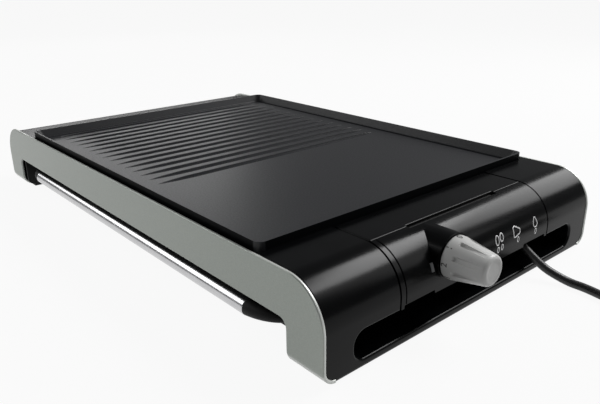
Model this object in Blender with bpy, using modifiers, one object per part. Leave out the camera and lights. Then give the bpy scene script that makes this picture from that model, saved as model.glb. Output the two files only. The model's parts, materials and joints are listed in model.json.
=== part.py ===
"""An electric table grill with a lift-off ribbed plate, a slide-out drip tray and a pull-out control unit.

Lengths are metres. +X points to the control end, -Y to the side with the tray's handle, +Z up.
Everything is placed from the middle of the body, and one empty then moves it so that the middle of the
whole grill, knob included, stands on the origin.
"""
import math

import bmesh
import bpy
from mathutils import Matrix, Vector

# Body: the two end housings and the side panels that join them
BODY_LENGTH = 0.568
BODY_WIDTH = 0.3312
BODY_TOP = 0.0717
END_RADIUS = 0.034
FOOT_PROUD = 0.0012
PANEL_WALL = 0.0025
PANEL_CURL = 0.009
LEG_LENGTH = 0.0353
ARCH_DECK = 0.0360
ARCH_FILLET = 0.007
COVER_INSET = 0.0008
COVER_WALL = 0.0025
COVER_LIP = 0.0045
COVER_FOOT_ROUND = 0.0040
LEG_WALL_SETBACK = 0.0082

# Clearances: pieces that touch, pieces whose seam shows, pieces that slide, and what a cut runs past
SEAT = 0.0003
SEAM = 0.0006
SLIDE = 0.0012
OVERRUN = 0.002
WELD = 0.00001

# Cooking plate, with what the body leaves free at its front, rear and sides
FRONT_DECK = 0.068
REAR_DECK = 0.080
SIDE_DECK = 0.00485
PLATE_PROUD = 0.0049
PLATE_RIM = 0.0020
PLATE_DISH = 0.0080
PLATE_SLOPE = 0.0028
PLATE_FLOOR = 0.0046
PLATE_SKIRT = 0.0016
PLATE_SKIRT_WALL = 0.0060
PLATE_CORNER = 0.0060
PLATE_LIFT_CLEAR = 0.0012
GUTTER_WIDTH = 0.0055
GUTTER_DEPTH = 0.0012
GROOVES = 15
GROOVE_PITCH = 0.0162
GROOVE_WIDTH = 0.0092
GROOVE_BED = 0.0034
GROOVE_DEPTH = 0.0027
GROOVE_END_MARGIN = 0.02175
GROOVE_TAPER = 0.036
GROOVE_FIRST = 0.0170
DRAIN_SLOTS = 4
DRAIN_LENGTH = 0.024
DRAIN_WIDTH = 0.0050

# Inner tub, heat shield and heating element
TUB_WALL = 0.0025
TUB_RIB = 0.0034
TUB_RIB_WIDTH = 0.0020
REST_HEIGHT = 0.0016
SHIELD_WALL = 0.0008
SHIELD_BELOW_TUB = 0.0030
SHIELD_SLOPE = 0.0040
SHIELD_MARGIN = 0.0022
CHUTE_LENGTH = 0.080
CHUTE_WIDTH = 0.046
CHUTE_DROP = 0.0080
ELEMENT_RADIUS = 0.00325
ELEMENT_BEND = 0.024
ELEMENT_SIDE_MARGIN = 0.03875
ELEMENT_REAR_MARGIN = 0.036
ELEMENT_FRONT_MARGIN = 0.044
ELEMENT_TURN_SETBACK = 0.047
ELEMENT_INNER_Y = 0.048
ELEMENT_STUB = 0.0036
TERMINAL_Y = 0.014
TERMINAL_DROP = 0.00975
TERMINAL_RADIUS = 0.0020
TERMINAL_LENGTH = 0.0170
CLIP_WALL = 0.0009
CLIP_WIDTH = 0.0080
CLIP_FOOT = 0.0060

# Drip tray, its runners and its handle
TRAY_WALL = 0.0012
TRAY_BELOW_ARCH = 0.0017
TRAY_HEIGHT = 0.0228
TRAY_FLANGE = 0.0052
TRAY_SLOPE = 0.0060
TRAY_NEAR_INSET = 0.0286
TRAY_FAR_INSET = 0.0156
RUNNER_WALL = 0.0015
RUNNER_LEDGE = 0.0058
RUNNER_DROP = 0.0102
TRAY_FRONT_WALL = 0.0034
HANDLE_RADIUS = 0.0050
HANDLE_INSET = 0.0056
HANDLE_BELOW_ARCH = 0.0148
HANDLE_END_RADIUS = 0.0054
HANDLE_TIP_RADIUS = 0.0029
HANDLE_END_REACH = 0.0320
HANDLE_END_MARGIN = 0.0040

# Control unit
CONTROL_WIDTH = 0.1876
CONTROL_BACK_GAP = 0.0035
CONTROL_WALL = 0.0020
CONTROL_DEPTH = 0.0418
SLIT_SETBACK = 0.0308
SLIT_NOTCH_LENGTH = 0.110
SLIT_NOTCH = 0.0012
TAB_NOTCH_LENGTH = 0.033
TAB_NOTCH = 0.0026
TAB_NOTCH_INSET = 0.0030
BOSS_RADIUS = 0.0177
BOSS_WALL = 0.0023
BOSS_DEPTH = 0.0277
BOSS_PROUD = 0.0003
KNOB_FROM_SOCKET = 0.01925
KNOB_DROP = 0.0190

# Hand recess under the control unit
RECESS_END_MARGIN = 0.0281
RECESS_LOW_Z = 0.0082
RECESS_DEPTH = 0.0267
RECESS_CORNER = 0.0095
LINER_INSET = 0.0108

# Knob and its shaft
KNOB_RADIUS = 0.0163
KNOB_NOSE_RADIUS = 0.0112
KNOB_LENGTH = 0.0326
KNOB_BASE_ROUND = 0.0014
KNOB_NOSE_ROUND = 0.0016
KNOB_FLUTES = 8
FLUTE_WIDTH = 0.0017
FLUTE_DEPTH = 0.0013
FLUTE_START = 0.0090
FLUTE_LENGTH = 0.0185
SHAFT_RADIUS = 0.0030
SHAFT_IN_KNOB = 0.0160

# Thermostat, lamp and socket inside the control unit
THERMOSTAT_SIDE = 0.0200
THERMOSTAT_DEPTH = 0.0197
BRACKET_WALL = 0.0012
BRACKET_WIDTH = 0.0320
BRACKET_HEIGHT = 0.0240
BUSHING_RADIUS = 0.0046
BUSHING_LENGTH = 0.0088
PROBE_RADIUS = 0.0026
PROBE_TIP_MARGIN = 0.0065
SOCKET_WIDTH = 0.0405
SOCKET_HEIGHT = 0.0120
SOCKET_DEPTH = 0.0150
LENS_FROM_KNOB = 0.0203
LENS_DROP = 0.0220
LENS_WIDTH = 0.0026
LENS_HEIGHT = 0.0060
LENS_PROUD = 0.0003
LENS_REACH = 0.0100
LAMP_RADIUS = 0.0022
LAMP_LENGTH = 0.0140

# Mains cord; its coil and plug are placed from the strain relief's tip
CORD_RADIUS = 0.0035
CORD_FROM_SIDE = 0.0213
CORD_SLOPE = math.radians(35)
CORD_LEAD = 0.0080
RELIEF_TIP_SETBACK = 0.0107
RELIEF_TIP_DROP = 0.0042
RELIEF_LENGTH = 0.0220
RELIEF_TIP_RADIUS = 0.0042
RELIEF_ROOT_RADIUS = 0.0052
RELIEF_FLANGE_RADIUS = 0.0066
RELIEF_FLANGE = 0.0018
COIL_AWAY = 0.1325
COIL_OFFSET_Y = 0.0020
COIL_RADIUS = 0.0520
COIL_PITCH = 0.0076
COIL_TURNS_IN = 3.0
COIL_TURNS_OUT = 2.75
COIL_STEPS = 24
COIL_LEAD = 0.0025
TIE_WALL = 0.0008
TIE_WIDTH = 0.0080
TIE_ANGLE = math.radians(200)
PLUG_FROM_COIL_X = 0.0030
PLUG_FROM_COIL_Y = 0.0785
PLUG_RADIUS = 0.0185
PLUG_LENGTH = 0.0480
PLUG_COLLAR = 0.0110
PLUG_ROUND = 0.0012
PLUG_NECK_RADIUS = 0.0090
PLUG_SLEEVE = 0.0180
PLUG_SLEEVE_RADIUS = 0.0046
PLUG_PIN_RADIUS = 0.0024
PLUG_PIN_LENGTH = 0.0190
PLUG_PIN_SPACING = 0.0190

# Feet, screws and plate rests
FOOT_RADIUS = 0.0065
FOOT_STEM_RADIUS = 0.0030
FOOT_STEM_LENGTH = 0.0034
FOOT_INSET_X = 0.0200
FOOT_INSET_Y = 0.0181
SCREW_SETBACK = 0.0055
SCREW_FROM_BAY = 0.0256
SCREW_HEAD_RADIUS = 0.0030
SCREW_HEAD = 0.0018
SCREW_SHANK_RADIUS = 0.0014
SCREW_LENGTH = 0.0150
POST_RADIUS = 0.0040
BOSS_HEIGHT = 0.0060
REST_LENGTH = 0.0300
REST_FROM_PLATE_END = 0.0600

# Sizes of the body that follow from the ones above
HALF_LENGTH = BODY_LENGTH / 2
HALF_WIDTH = BODY_WIDTH / 2
FRONT_X = HALF_LENGTH - COVER_INSET
COVER_TOP = BODY_TOP - COVER_INSET
SHELL_HALF_WIDTH = HALF_WIDTH - PANEL_WALL - SEAT
ARCH_HEIGHT = BODY_TOP - ARCH_DECK
LEG_WALL_X = HALF_LENGTH - LEG_LENGTH - LEG_WALL_SETBACK
LEG_WALL_INNER_X = LEG_WALL_X + COVER_WALL
FOOT_X = HALF_LENGTH - FOOT_INSET_X
FOOT_Y = HALF_WIDTH - FOOT_INSET_Y

# The plate and what lies under it
PLATE_LENGTH = BODY_LENGTH - FRONT_DECK - REAR_DECK
PLATE_WIDTH = BODY_WIDTH - SIDE_DECK * 2
PLATE_SHIFT = (REAR_DECK - FRONT_DECK) / 2
PLATE_RIM_Z = BODY_TOP + PLATE_PROUD
PLATE_FRONT = PLATE_SHIFT + PLATE_LENGTH / 2
PLATE_REAR = PLATE_SHIFT - PLATE_LENGTH / 2
PLATE_SURFACE = PLATE_RIM_Z - PLATE_DISH
PLATE_UNDERSIDE = PLATE_SURFACE - PLATE_FLOOR
PLATE_SKIRT_Z = PLATE_UNDERSIDE - PLATE_SKIRT
GROOVE_LENGTH = PLATE_WIDTH - GROOVE_END_MARGIN * 2
DRAIN_X = PLATE_REAR + GROOVE_FIRST + GROOVE_PITCH * (GROOVES - (DRAIN_SLOTS + 1) / 2)
REST_X = PLATE_LENGTH / 2 - REST_FROM_PLATE_END
TUB_FLOOR_Z = ARCH_HEIGHT + SLIDE
TUB_FLOOR_TOP = TUB_FLOOR_Z + TUB_WALL
TUB_TOP = PLATE_SKIRT_Z - SEAT * 2 - REST_HEIGHT
TUB_FRONT = PLATE_FRONT + COVER_LIP
TUB_REAR = PLATE_REAR - COVER_LIP
TUB_REACH = LEG_WALL_INNER_X + SEAT
LEG_WALL_TOP = TUB_FLOOR_Z - SEAT
SHIELD_TOP = TUB_TOP - SHIELD_BELOW_TUB
SHIELD_FLOOR_Z = TUB_FLOOR_TOP + TUB_RIB + SEAT
SHIELD_FRONT = TUB_FRONT - TUB_WALL - SHIELD_MARGIN
SHIELD_REAR = TUB_REAR + TUB_WALL + SHIELD_MARGIN
SHIELD_HALF_WIDTH = SHELL_HALF_WIDTH - TUB_WALL - SHIELD_MARGIN
ELEMENT_Z = PLATE_UNDERSIDE - SEAT - ELEMENT_RADIUS
ELEMENT_OUTER_Y = PLATE_WIDTH / 2 - ELEMENT_SIDE_MARGIN
ELEMENT_REAR_X = PLATE_REAR + ELEMENT_REAR_MARGIN
ELEMENT_FRONT_X = PLATE_FRONT - ELEMENT_FRONT_MARGIN
ELEMENT_TURN_X = ELEMENT_FRONT_X - ELEMENT_TURN_SETBACK
TERMINAL_Z = ELEMENT_Z - TERMINAL_DROP

# The tray and its handle
TRAY_TOP_Z = ARCH_HEIGHT - TRAY_BELOW_ARCH
TRAY_FLOOR_Z = TRAY_TOP_Z - TRAY_HEIGHT
TRAY_NEAR_Y = TRAY_NEAR_INSET - HALF_WIDTH
TRAY_FAR_Y = HALF_WIDTH - TRAY_FAR_INSET
TRAY_HALF = LEG_WALL_X - SEAT - RUNNER_WALL - SLIDE * 2 - TRAY_FLANGE
HANDLE_Y = HANDLE_INSET - HALF_WIDTH
HANDLE_Z = ARCH_HEIGHT - HANDLE_BELOW_ARCH
HANDLE_HALF = TRAY_HALF + TRAY_FLANGE - HANDLE_END_MARGIN - HANDLE_END_REACH - SEAT

# The control unit, the recess below it and the knob
CONTROL_HALF = CONTROL_WIDTH / 2
CONTROL_BACK_X = LEG_WALL_INNER_X + CONTROL_BACK_GAP
CONTROL_INNER_X = CONTROL_BACK_X + CONTROL_WALL + SEAT
CONTROL_BOTTOM_Z = BODY_TOP - CONTROL_DEPTH
BAY_HALF = CONTROL_HALF + SEAM
SLIT_X = HALF_LENGTH - SLIT_SETBACK
RECESS_LENGTH = BODY_WIDTH - RECESS_END_MARGIN * 2
RECESS_HIGH_Z = CONTROL_BOTTOM_Z - SEAT
RECESS_BACK_X = FRONT_X - RECESS_DEPTH
SCREW_X = LEG_WALL_INNER_X + SCREW_SETBACK
SCREW_Y = BAY_HALF + SCREW_FROM_BAY
ELEMENT_END_X = CONTROL_BACK_X - ELEMENT_STUB
PROBE_Z = PLATE_UNDERSIDE - SEAT - PROBE_RADIUS
PROBE_TIP_X = ELEMENT_FRONT_X + PROBE_TIP_MARGIN
BOSS_REAR_X = FRONT_X - BOSS_DEPTH
BOSS_FRONT_X = FRONT_X + BOSS_PROUD
KNOB_Y = -SOCKET_WIDTH / 2 - KNOB_FROM_SOCKET
KNOB_Z = BODY_TOP - KNOB_DROP
KNOB_BASE_X = BOSS_FRONT_X + SEAT
KNOB_FRONT_X = KNOB_BASE_X + KNOB_LENGTH
THERMOSTAT_FRONT_X = CONTROL_INNER_X + BRACKET_WALL + SEAT + THERMOSTAT_DEPTH
LENS_Y = KNOB_Y - LENS_FROM_KNOB
LENS_Z = BODY_TOP - LENS_DROP
GRILL_SHIFT = (HALF_LENGTH - KNOB_FRONT_X) / 2

# The cord
CORD_Y = CONTROL_HALF - CORD_FROM_SIDE
RELIEF_TIP_X = FRONT_X - RELIEF_TIP_SETBACK
RELIEF_TIP_Z = CONTROL_BOTTOM_Z - RELIEF_TIP_DROP
COIL_X = RELIEF_TIP_X + COIL_AWAY
COIL_Y = CORD_Y - COIL_OFFSET_Y + COIL_RADIUS
COIL_Z = CORD_RADIUS + TIE_WALL + SEAT
PLUG_X = COIL_X + PLUG_FROM_COIL_X
PLUG_Y = COIL_Y + PLUG_FROM_COIL_Y
PLUG_Z = PLUG_RADIUS + SEAT

AXIS_FRAMES = {
    "X": Matrix(((0, 0, 1, 0), (1, 0, 0, 0), (0, 1, 0, 0), (0, 0, 0, 1))),
    "Y": Matrix(((1, 0, 0, 0), (0, 0, -1, 0), (0, 1, 0, 0), (0, 0, 0, 1))),
    "Z": Matrix.Identity(4),
}


# Scene and collections
for old in list(bpy.data.objects):
    bpy.data.objects.remove(old, do_unlink=True)

grill = bpy.data.collections.new("electric_grill")
cutters = bpy.data.collections.new("cutters")
for collection in (grill, cutters):
    bpy.context.scene.collection.children.link(collection)


# Materials
def material(name, colour, roughness, metallic=0.0):
    made = bpy.data.materials.new(name)
    made.use_nodes = True
    shader = made.node_tree.nodes["Principled BSDF"]
    shader.inputs["Base Color"].default_value = (*colour, 1)
    shader.inputs["Roughness"].default_value = roughness
    shader.inputs["Metallic"].default_value = metallic
    return made


PANEL_PAINT = material("panel_paint", (0.24, 0.26, 0.24), 0.45, 0.5)
GLOSS_BLACK = material("gloss_black_plastic", (0.008, 0.009, 0.010), 0.15)
MATT_BLACK = material("matt_black_plastic", (0.02, 0.02, 0.02), 0.6)
NON_STICK = material("non_stick_coating", (0.035, 0.038, 0.042), 0.4, 0.2)
SHEET_STEEL = material("sheet_steel", (0.55, 0.55, 0.53), 0.35, 1.0)
SHEATH_STEEL = material("sheath_steel", (0.16, 0.15, 0.14), 0.5, 1.0)
CHROME = material("chrome", (0.75, 0.75, 0.76), 0.1, 1.0)
BRASS = material("brass", (0.7, 0.55, 0.28), 0.3, 1.0)
SATIN_SILVER = material("satin_silver_plastic", (0.58, 0.58, 0.56), 0.35, 0.3)
CERAMIC = material("ceramic", (0.75, 0.72, 0.66), 0.6)
RUBBER = material("rubber", (0.015, 0.015, 0.015), 0.8)
CORD_BLACK = material("cord_sheath", (0.012, 0.012, 0.013), 0.5)
LENS_CLEAR = material("pale_lens", (0.6, 0.6, 0.58), 0.2)


# Frames that carry the pieces
def empty(name, place, parent=None):
    made = bpy.data.objects.new(name, None)
    made.location = place
    made.parent = parent
    grill.objects.link(made)
    return made


body_frame = empty("body_frame", (GRILL_SHIFT, 0, 0))
plate_frame = empty("plate_frame", (0, 0, 0), body_frame)
tray_frame = empty("tray_frame", (0, 0, 0), body_frame)
control_frame = empty("control_frame", (0, 0, 0), body_frame)
knob_axis = empty("knob_axis", (KNOB_BASE_X, KNOB_Y, KNOB_Z), control_frame)


# Modelling helpers
def place(name, mesh, frame, surface, collection=grill):
    made = bpy.data.objects.new(name, mesh)
    made.parent = frame
    collection.objects.link(made)
    if surface is not None:
        mesh.materials.clear()
        mesh.materials.append(surface)
    return made


def mesh_from(bm, name):
    bmesh.ops.recalc_face_normals(bm, faces=bm.faces)
    mesh = bpy.data.meshes.new(name)
    bm.to_mesh(mesh)
    bm.free()
    return mesh


def smooth(piece, angle=math.radians(35)):
    piece.data.shade_smooth()
    piece.data.set_sharp_from_angle(angle=angle)


def mesh_of_curve(curve, name, turn):
    """The evaluated mesh of a curve, with its caps welded on and its points turned into the body's axes."""
    drawn = bpy.data.objects.new(name + "_drawn", curve)
    cutters.objects.link(drawn)
    bpy.context.view_layer.update()
    mesh = bpy.data.meshes.new_from_object(drawn.evaluated_get(bpy.context.evaluated_depsgraph_get()))
    bpy.data.objects.remove(drawn, do_unlink=True)
    bm = bmesh.new()
    bm.from_mesh(mesh)
    bmesh.ops.remove_doubles(bm, verts=bm.verts, dist=WELD)
    bmesh.ops.transform(bm, matrix=turn, verts=bm.verts)
    bmesh.ops.recalc_face_normals(bm, faces=bm.faces)
    bm.to_mesh(mesh)
    bm.free()
    mesh.name = name
    return mesh


def prism(name, outlines, axis, span, frame=body_frame, surface=None, collection=grill):
    """Closed outlines pushed along an axis; a second outline inside the first is a hole.

    Points are (y, z) for X, (x, z) for Y and (x, y) for Z.
    """
    curve = bpy.data.curves.new(name, "CURVE")
    curve.dimensions = "2D"
    curve.fill_mode = "BOTH"
    curve.extrude = (span[1] - span[0]) / 2
    for points in outlines:
        spline = curve.splines.new("POLY")
        spline.points.add(len(points) - 1)
        for point, (across, up) in zip(spline.points, points):
            point.co = (across, up, 0, 1)
        spline.use_cyclic_u = True
    middle = Vector([(span[0] + span[1]) / 2 if axis == letter else 0 for letter in "XYZ"])
    mesh = mesh_of_curve(curve, name, Matrix.Translation(middle) @ AXIS_FRAMES[axis])
    return place(name, mesh, frame, surface, collection)


def box(name, x, y, z, frame=body_frame, surface=None, collection=grill, foot_inset=0.0):
    """A box between two corners, whose bottom face may be drawn in."""
    bm = bmesh.new()
    bmesh.ops.create_cube(bm, size=1)
    for corner in bm.verts:
        inset = foot_inset if corner.co.z < 0 else 0
        side = [math.copysign(1, part) for part in corner.co]
        corner.co.x = (x[1] if side[0] > 0 else x[0]) - side[0] * inset
        corner.co.y = (y[1] if side[1] > 0 else y[0]) - side[1] * inset
        corner.co.z = z[1] if side[2] > 0 else z[0]
    return place(name, mesh_from(bm, name), frame, surface, collection)


def rod(name, start, end, radius, frame=body_frame, surface=None, sides=24, end_radius=None):
    """A straight round bar or cone from one point to another."""
    start, end = Vector(start), Vector(end)
    bm = bmesh.new()
    tip = radius if end_radius is None else end_radius
    bmesh.ops.create_cone(
        bm, cap_ends=True, segments=sides, radius1=radius, radius2=tip, depth=(end - start).length
    )
    turn = (end - start).to_track_quat("Z", "Y").to_matrix().to_4x4()
    bmesh.ops.transform(bm, matrix=Matrix.Translation((start + end) / 2) @ turn, verts=bm.verts)
    made = place(name, mesh_from(bm, name), frame, surface)
    smooth(made)
    return made


def turned(name, profile, origin, direction, frame=body_frame, surface=None, steps=32):
    """A profile of (radius, height) points, given from the top down, spun by a Screw modifier."""
    bm = bmesh.new()
    corners = [bm.verts.new((radius, 0, height)) for radius, height in profile]
    for first, second in zip(corners, corners[1:]):
        bm.edges.new((first, second))
    mesh = bpy.data.meshes.new(name)
    bm.to_mesh(mesh)
    bm.free()
    made = place(name, mesh, frame, surface)
    made.location = origin
    made.rotation_mode = "QUATERNION"
    made.rotation_quaternion = Vector(direction).to_track_quat("Z", "Y")
    spin = made.modifiers.new("spin", "SCREW")
    spin.steps = steps
    spin.render_steps = steps
    spin.use_merge_vertices = True
    spin.merge_threshold = WELD
    spin.use_smooth_shade = True
    return made


def tube(name, points, radius, frame, surface, resolution=2, radii=None):
    """A wire through a list of points, with flat ends."""
    curve = bpy.data.curves.new(name, "CURVE")
    curve.dimensions = "3D"
    curve.bevel_depth = radius
    curve.bevel_resolution = resolution
    curve.render_resolution_u = 0
    curve.use_fill_caps = True
    spline = curve.splines.new("POLY")
    spline.points.add(len(points) - 1)
    for index, point in enumerate(points):
        spline.points[index].co = (*point, 1)
        spline.points[index].radius = 1 if radii is None else radii[index] / radius
    mesh = mesh_of_curve(curve, name, Matrix.Identity(4))
    made = place(name, mesh, frame, surface)
    smooth(made)
    return made


def combine(piece, tool, operation="DIFFERENCE"):
    """Cut, join or clip a piece with a tool that then stays out of the model."""
    for collection in tool.users_collection:
        collection.objects.unlink(tool)
    cutters.objects.link(tool)
    tool.hide_render = True
    tool.display_type = "WIRE"
    step = piece.modifiers.new(tool.name, "BOOLEAN")
    step.operation = operation
    step.object = tool
    return piece


def arc(centre, radius, start, end, steps):
    """Points on an arc, with its angles in degrees."""
    angles = [math.radians(start + (end - start) * step / steps) for step in range(steps + 1)]
    return [(centre[0] + radius * math.cos(a), centre[1] + radius * math.sin(a)) for a in angles]


def rounded_rectangle(low, high, radius, steps=4):
    (x0, y0), (x1, y1) = low, high
    return (
        arc((x1 - radius, y1 - radius), radius, 0, 90, steps)
        + arc((x0 + radius, y1 - radius), radius, 90, 180, steps)
        + arc((x0 + radius, y0 + radius), radius, 180, 270, steps)
        + arc((x1 - radius, y0 + radius), radius, 270, 360, steps)
    )


def mirrored(points):
    return [(-across, up) for across, up in reversed(points)]


def smooth_route(points, step):
    """Points about a step apart on a smooth curve through the route's own points."""
    points = [Vector(point) for point in points]
    ends = [points[0] * 2 - points[1], *points, points[-1] * 2 - points[-2]]
    found = []
    for before, start, end, after in zip(ends, ends[1:], ends[2:], ends[3:]):
        pieces = max(1, round((end - start).length / step))
        for index in range(pieces):
            t = index / pieces
            found.append(
                0.5
                * (
                    2 * start
                    + (end - before) * t
                    + (2 * before - 5 * start + 4 * end - after) * t**2
                    + (3 * start - before - 3 * end + after) * t**3
                )
            )
    return found + [points[-1]]


def ease(share):
    """0 to 1 with level ends."""
    share = min(max(share, 0), 1)
    return share * share * (3 - 2 * share)


# Outlines that several pieces share
def end_profile(inset, rear_x, foot_z=FOOT_PROUD):
    """The rounded end of the body seen from the side, filled from rear_x on and drawn in by inset."""
    front, top, radius = HALF_LENGTH - inset, BODY_TOP - inset, END_RADIUS - inset
    rounded = arc((front - radius, top - radius), radius, 0, 90, 10)
    return [(rear_x, foot_z), (front, foot_z), *rounded, (rear_x, top)]


def end_skin(lip_x):
    """The end cover's wall seen from the side, with a lip turned down beside the plate."""
    outer, inner = COVER_INSET, COVER_INSET + COVER_WALL
    low = FOOT_PROUD - OVERRUN
    shape = [(lip_x, BODY_TOP - inner - COVER_LIP), (lip_x, BODY_TOP - outer)]
    centre = (HALF_LENGTH - END_RADIUS, BODY_TOP - END_RADIUS)
    shape += arc(centre, END_RADIUS - outer, 90, 0, 10)
    shape += [(HALF_LENGTH - outer, low), (HALF_LENGTH - inner, low)]
    shape += arc(centre, END_RADIUS - inner, 0, 90, 10)
    shape += [(lip_x + COVER_WALL, BODY_TOP - inner), (lip_x + COVER_WALL, BODY_TOP - inner - COVER_LIP)]
    return shape


def body_section():
    """What lies between the side panels seen from the front, with its foot drawn in behind their curls."""
    side, foot = SHELL_HALF_WIDTH, FOOT_PROUD
    centre = (HALF_WIDTH - PANEL_CURL, foot + PANEL_CURL)
    round_low = arc(centre, side - centre[0], 0, -90, 5)
    inner = centre[0] - SEAM
    right = [(side, BODY_TOP + OVERRUN), *round_low, (inner, round_low[-1][1]), (inner, foot)]
    return right + mirrored(right)


def clip_to_section(piece, name):
    tool = prism(name + "_section", [body_section()], "X", (-BODY_LENGTH, BODY_LENGTH))
    return combine(piece, tool, "INTERSECT")


# Side panels
def panel_outline():
    top, foot = BODY_TOP, FOOT_PROUD - OVERRUN
    leg = HALF_LENGTH - LEG_LENGTH
    right = arc((HALF_LENGTH - END_RADIUS, top - END_RADIUS), END_RADIUS, 90, 0, 12)
    right += [(HALF_LENGTH, foot), (leg, foot)]
    right += arc((leg - ARCH_FILLET, ARCH_HEIGHT - ARCH_FILLET), ARCH_FILLET, 0, 90, 4)
    return right + mirrored(right)


def side_panel(name, side):
    """A painted sheet whose legs curl in under the body."""
    outer, foot = HALF_WIDTH, FOOT_PROUD
    centre = (outer - PANEL_CURL, foot + PANEL_CURL)
    sheet = [(outer - PANEL_WALL, BODY_TOP + OVERRUN), (outer, BODY_TOP + OVERRUN)]
    sheet += arc(centre, PANEL_CURL, 0, -90, 6)
    sheet += arc(centre, PANEL_CURL - PANEL_WALL, -90, 0, 6)
    sheet = [(side * across, up) for across, up in sheet]
    piece = prism(name, [sheet], "X", (-BODY_LENGTH, BODY_LENGTH), surface=PANEL_PAINT)
    span = sorted((side * (outer + OVERRUN), side * (outer - PANEL_CURL - OVERRUN)))
    combine(piece, prism(name + "_outline", [panel_outline()], "Y", span), "INTERSECT")
    smooth(piece)
    return piece


side_panel("side_panel_near", -1)
side_panel("side_panel_far", 1)


# End covers
def screw_post(piece, name, x, y):
    """A post inside a cover for a screw that comes up from below."""
    foot = FOOT_PROUD + BOSS_HEIGHT + SEAT
    top = COVER_TOP - COVER_WALL / 2
    combine(piece, rod(name, (x, y, foot), (x, y, top), POST_RADIUS, sides=16), "UNION")
    bore = (SCREW_LENGTH + OVERRUN, SCREW_SHANK_RADIUS + SEAT)
    combine(piece, rod(name + "_bore", (x, y, foot - OVERRUN), (x, y, foot + bore[0]), bore[1], sides=12))


def foot_hole(piece, name, x, y):
    end = (x, y, FOOT_PROUD + FOOT_STEM_LENGTH + SEAT)
    combine(piece, rod(name, (x, y, -OVERRUN), end, FOOT_STEM_RADIUS + SEAT, sides=16))


def front_cover():
    lip_x = PLATE_FRONT + PLATE_LIFT_CLEAR
    piece = prism("front_cover", [end_skin(lip_x)], "Y", (-HALF_WIDTH, HALF_WIDTH), surface=GLOSS_BLACK)
    liner_high = RECESS_HIGH_Z + COVER_WALL
    liner = box(
        "recess_liner",
        (RECESS_BACK_X - COVER_WALL, FRONT_X - COVER_WALL / 2),
        (-HALF_WIDTH + LINER_INSET, HALF_WIDTH - LINER_INSET),
        (FOOT_PROUD - OVERRUN / 2, liner_high),
    )
    combine(piece, liner, "UNION")
    for side in (-1, 1):
        screw_post(piece, f"front_post_{side}", SCREW_X, side * SCREW_Y)
    clip_to_section(piece, "front_cover")
    pocket = rounded_rectangle(
        (-RECESS_LENGTH / 2, RECESS_LOW_Z), (RECESS_LENGTH / 2, RECESS_HIGH_Z), RECESS_CORNER, 6
    )
    combine(piece, prism("recess_pocket", [pocket], "X", (RECESS_BACK_X, HALF_LENGTH + OVERRUN)))
    bay = box(
        "control_bay",
        (PLATE_FRONT - OVERRUN, HALF_LENGTH + OVERRUN),
        (-BAY_HALF, BAY_HALF),
        (RECESS_HIGH_Z - SEAT / 2, BODY_TOP + OVERRUN),
    )
    combine(piece, bay)
    turn = COVER_FOOT_ROUND
    edge = arc((FRONT_X - turn, FOOT_PROUD + turn), turn, -90, 0, 5)
    edge += [(FRONT_X + OVERRUN, edge[-1][1]), (FRONT_X + OVERRUN, FOOT_PROUD - OVERRUN)]
    edge += [(edge[0][0], FOOT_PROUD - OVERRUN)]
    combine(piece, prism("cover_foot_round", [edge], "Y", (-HALF_WIDTH, HALF_WIDTH)))
    for side in (-1, 1):
        foot_hole(piece, f"front_foot_hole_{side}", FOOT_X, side * FOOT_Y)
    smooth(piece)
    return piece


def rear_cover():
    lip_x = -PLATE_REAR + PLATE_LIFT_CLEAR
    skin = mirrored(end_skin(lip_x))
    piece = prism("rear_cover", [skin], "Y", (-HALF_WIDTH, HALF_WIDTH), surface=GLOSS_BLACK)
    for side in (-1, 1):
        screw_post(piece, f"rear_post_{side}", -SCREW_X, side * SCREW_Y)
    clip_to_section(piece, "rear_cover")
    smooth(piece)
    return piece


front_cover()
rear_cover()


# Base plates that close the end housings from below
def base_plate(name, side, reach):
    """An L of floor and inner leg wall; reach is how far the floor goes towards the end of the body."""
    low, floor = FOOT_PROUD - OVERRUN, FOOT_PROUD + COVER_WALL
    shape = [
        (LEG_WALL_X, low),
        (reach, low),
        (reach, floor),
        (LEG_WALL_INNER_X, floor),
        (LEG_WALL_INNER_X, LEG_WALL_TOP),
        (LEG_WALL_X, LEG_WALL_TOP),
    ]
    if side < 0:
        shape = mirrored(shape)
    piece = prism(name, [shape], "Y", (-HALF_WIDTH, HALF_WIDTH), surface=MATT_BLACK)
    for turn in (-1, 1):
        x, y = side * SCREW_X, turn * SCREW_Y
        top = FOOT_PROUD + BOSS_HEIGHT
        boss = rod(f"{name}_boss_{turn}", (x, y, FOOT_PROUD), (x, y, top), POST_RADIUS, sides=16)
        combine(piece, boss, "UNION")
    clip_to_section(piece, name)
    for turn in (-1, 1):
        x, y = side * SCREW_X, turn * SCREW_Y
        head_top = FOOT_PROUD + SCREW_HEAD * 2 + SEAT
        hole, sink = SCREW_SHANK_RADIUS + SEAT, SCREW_HEAD_RADIUS + SEAT
        combine(piece, rod(f"{name}_hole_{turn}", (x, y, -OVERRUN), (x, y, top + OVERRUN), hole, sides=12))
        combine(piece, rod(f"{name}_sink_{turn}", (x, y, -OVERRUN), (x, y, head_top), sink, sides=16))
    return piece


front_base = base_plate("front_base_plate", 1, RECESS_BACK_X - COVER_WALL - SEAT)
rear_base = base_plate("rear_base_plate", -1, FRONT_X - COVER_WALL - SEAT)
for y_side in (-1, 1):
    foot_hole(rear_base, f"rear_foot_hole_{y_side}", -FOOT_X, y_side * FOOT_Y)


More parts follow.
